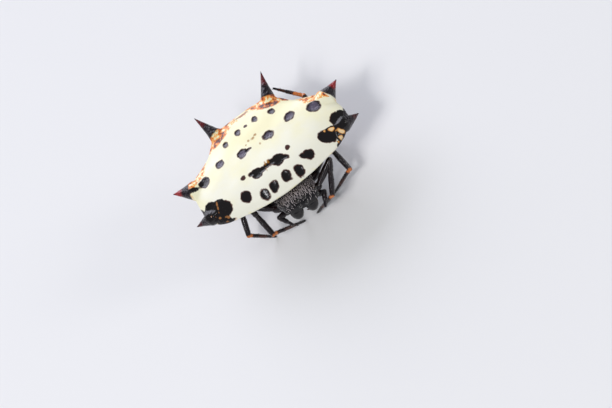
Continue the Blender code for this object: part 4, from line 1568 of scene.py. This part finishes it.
class WEAVER_OT_eyes(bpy.types.Operator):
    """Set the eight eyes in the head"""
    bl_idname = "weaver.eyes"
    bl_label = "Eyes"
    bl_options = {"REGISTER", "UNDO"}

    def execute(self, context):
        build_eyes()
        return {"FINISHED"}


class WEAVER_OT_jaws(bpy.types.Operator):
    """Build the two jaws and their fangs"""
    bl_idname = "weaver.jaws"
    bl_label = "Jaws"
    bl_options = {"REGISTER", "UNDO"}

    def execute(self, context):
        build_jaws()
        return {"FINISHED"}


class WEAVER_OT_legs(bpy.types.Operator):
    """Build the eight legs and their claws"""
    bl_idname = "weaver.legs"
    bl_label = "Legs"
    bl_options = {"REGISTER", "UNDO"}

    def execute(self, context):
        build_legs()
        return {"FINISHED"}


class WEAVER_OT_palps(bpy.types.Operator):
    """Build the two palps"""
    bl_idname = "weaver.palps"
    bl_label = "Palps"
    bl_options = {"REGISTER", "UNDO"}

    def execute(self, context):
        build_palps()
        return {"FINISHED"}


class WEAVER_OT_waist(bpy.types.Operator):
    """Build the waist between the carapace and the plate"""
    bl_idname = "weaver.waist"
    bl_label = "Waist"
    bl_options = {"REGISTER", "UNDO"}

    def execute(self, context):
        build_waist()
        return {"FINISHED"}


class WEAVER_OT_spinnerets(bpy.types.Operator):
    """Build the spinnerets and their ring"""
    bl_idname = "weaver.spinnerets"
    bl_label = "Spinnerets"
    bl_options = {"REGISTER", "UNDO"}

    def execute(self, context):
        build_spinnerets()
        return {"FINISHED"}


class WEAVER_OT_hairs(bpy.types.Operator):
    """Grow the hairs of the carapace and the legs"""
    bl_idname = "weaver.hairs"
    bl_label = "Hairs"
    bl_options = {"REGISTER", "UNDO"}

    def execute(self, context):
        build_hairs()
        return {"FINISHED"}


class WEAVER_OT_stage(bpy.types.Operator):
    """Set the floor, the lights and the camera"""
    bl_idname = "weaver.stage"
    bl_label = "Stage"
    bl_options = {"REGISTER", "UNDO"}

    def execute(self, context):
        build_stage()
        return {"FINISHED"}


OPERATORS = (
    WEAVER_OT_plate, WEAVER_OT_carapace, WEAVER_OT_eyes, WEAVER_OT_jaws,
    WEAVER_OT_legs, WEAVER_OT_palps, WEAVER_OT_waist, WEAVER_OT_spinnerets,
    WEAVER_OT_hairs, WEAVER_OT_stage)


class WEAVER_PT_panel(bpy.types.Panel):
    """Sizes, colours and pieces of the orb weaver."""
    bl_label = "Spiny Orb Weaver"
    bl_idname = "WEAVER_PT_panel"
    bl_space_type = "VIEW_3D"
    bl_region_type = "UI"
    bl_category = "Orb Weaver"

    def draw(self, context):
        for group in (context.scene.weaver_sizes, context.scene.weaver_colours):
            for name in group.__annotations__:
                self.layout.prop(group, name)
        for operator in OPERATORS:
            self.layout.operator(operator.bl_idname)


CLASSES = (WeaverSizes, WeaverColours, *OPERATORS, WEAVER_PT_panel)


def register():
    for item in CLASSES:
        bpy.utils.register_class(item)
    bpy.types.Scene.weaver_sizes = bpy.props.PointerProperty(type=WeaverSizes)
    bpy.types.Scene.weaver_colours = bpy.props.PointerProperty(type=WeaverColours)


def unregister():
    del bpy.types.Scene.weaver_colours
    del bpy.types.Scene.weaver_sizes
    for item in reversed(CLASSES):
        bpy.utils.unregister_class(item)


def main():
    register()
    bpy.ops.weaver.stage()
    bpy.ops.weaver.plate()
    bpy.ops.weaver.carapace()
    bpy.ops.weaver.eyes()
    bpy.ops.weaver.jaws()
    bpy.ops.weaver.legs()
    bpy.ops.weaver.palps()
    bpy.ops.weaver.waist()
    bpy.ops.weaver.spinnerets()
    bpy.ops.weaver.hairs()


if __name__ == "__main__":
    main()
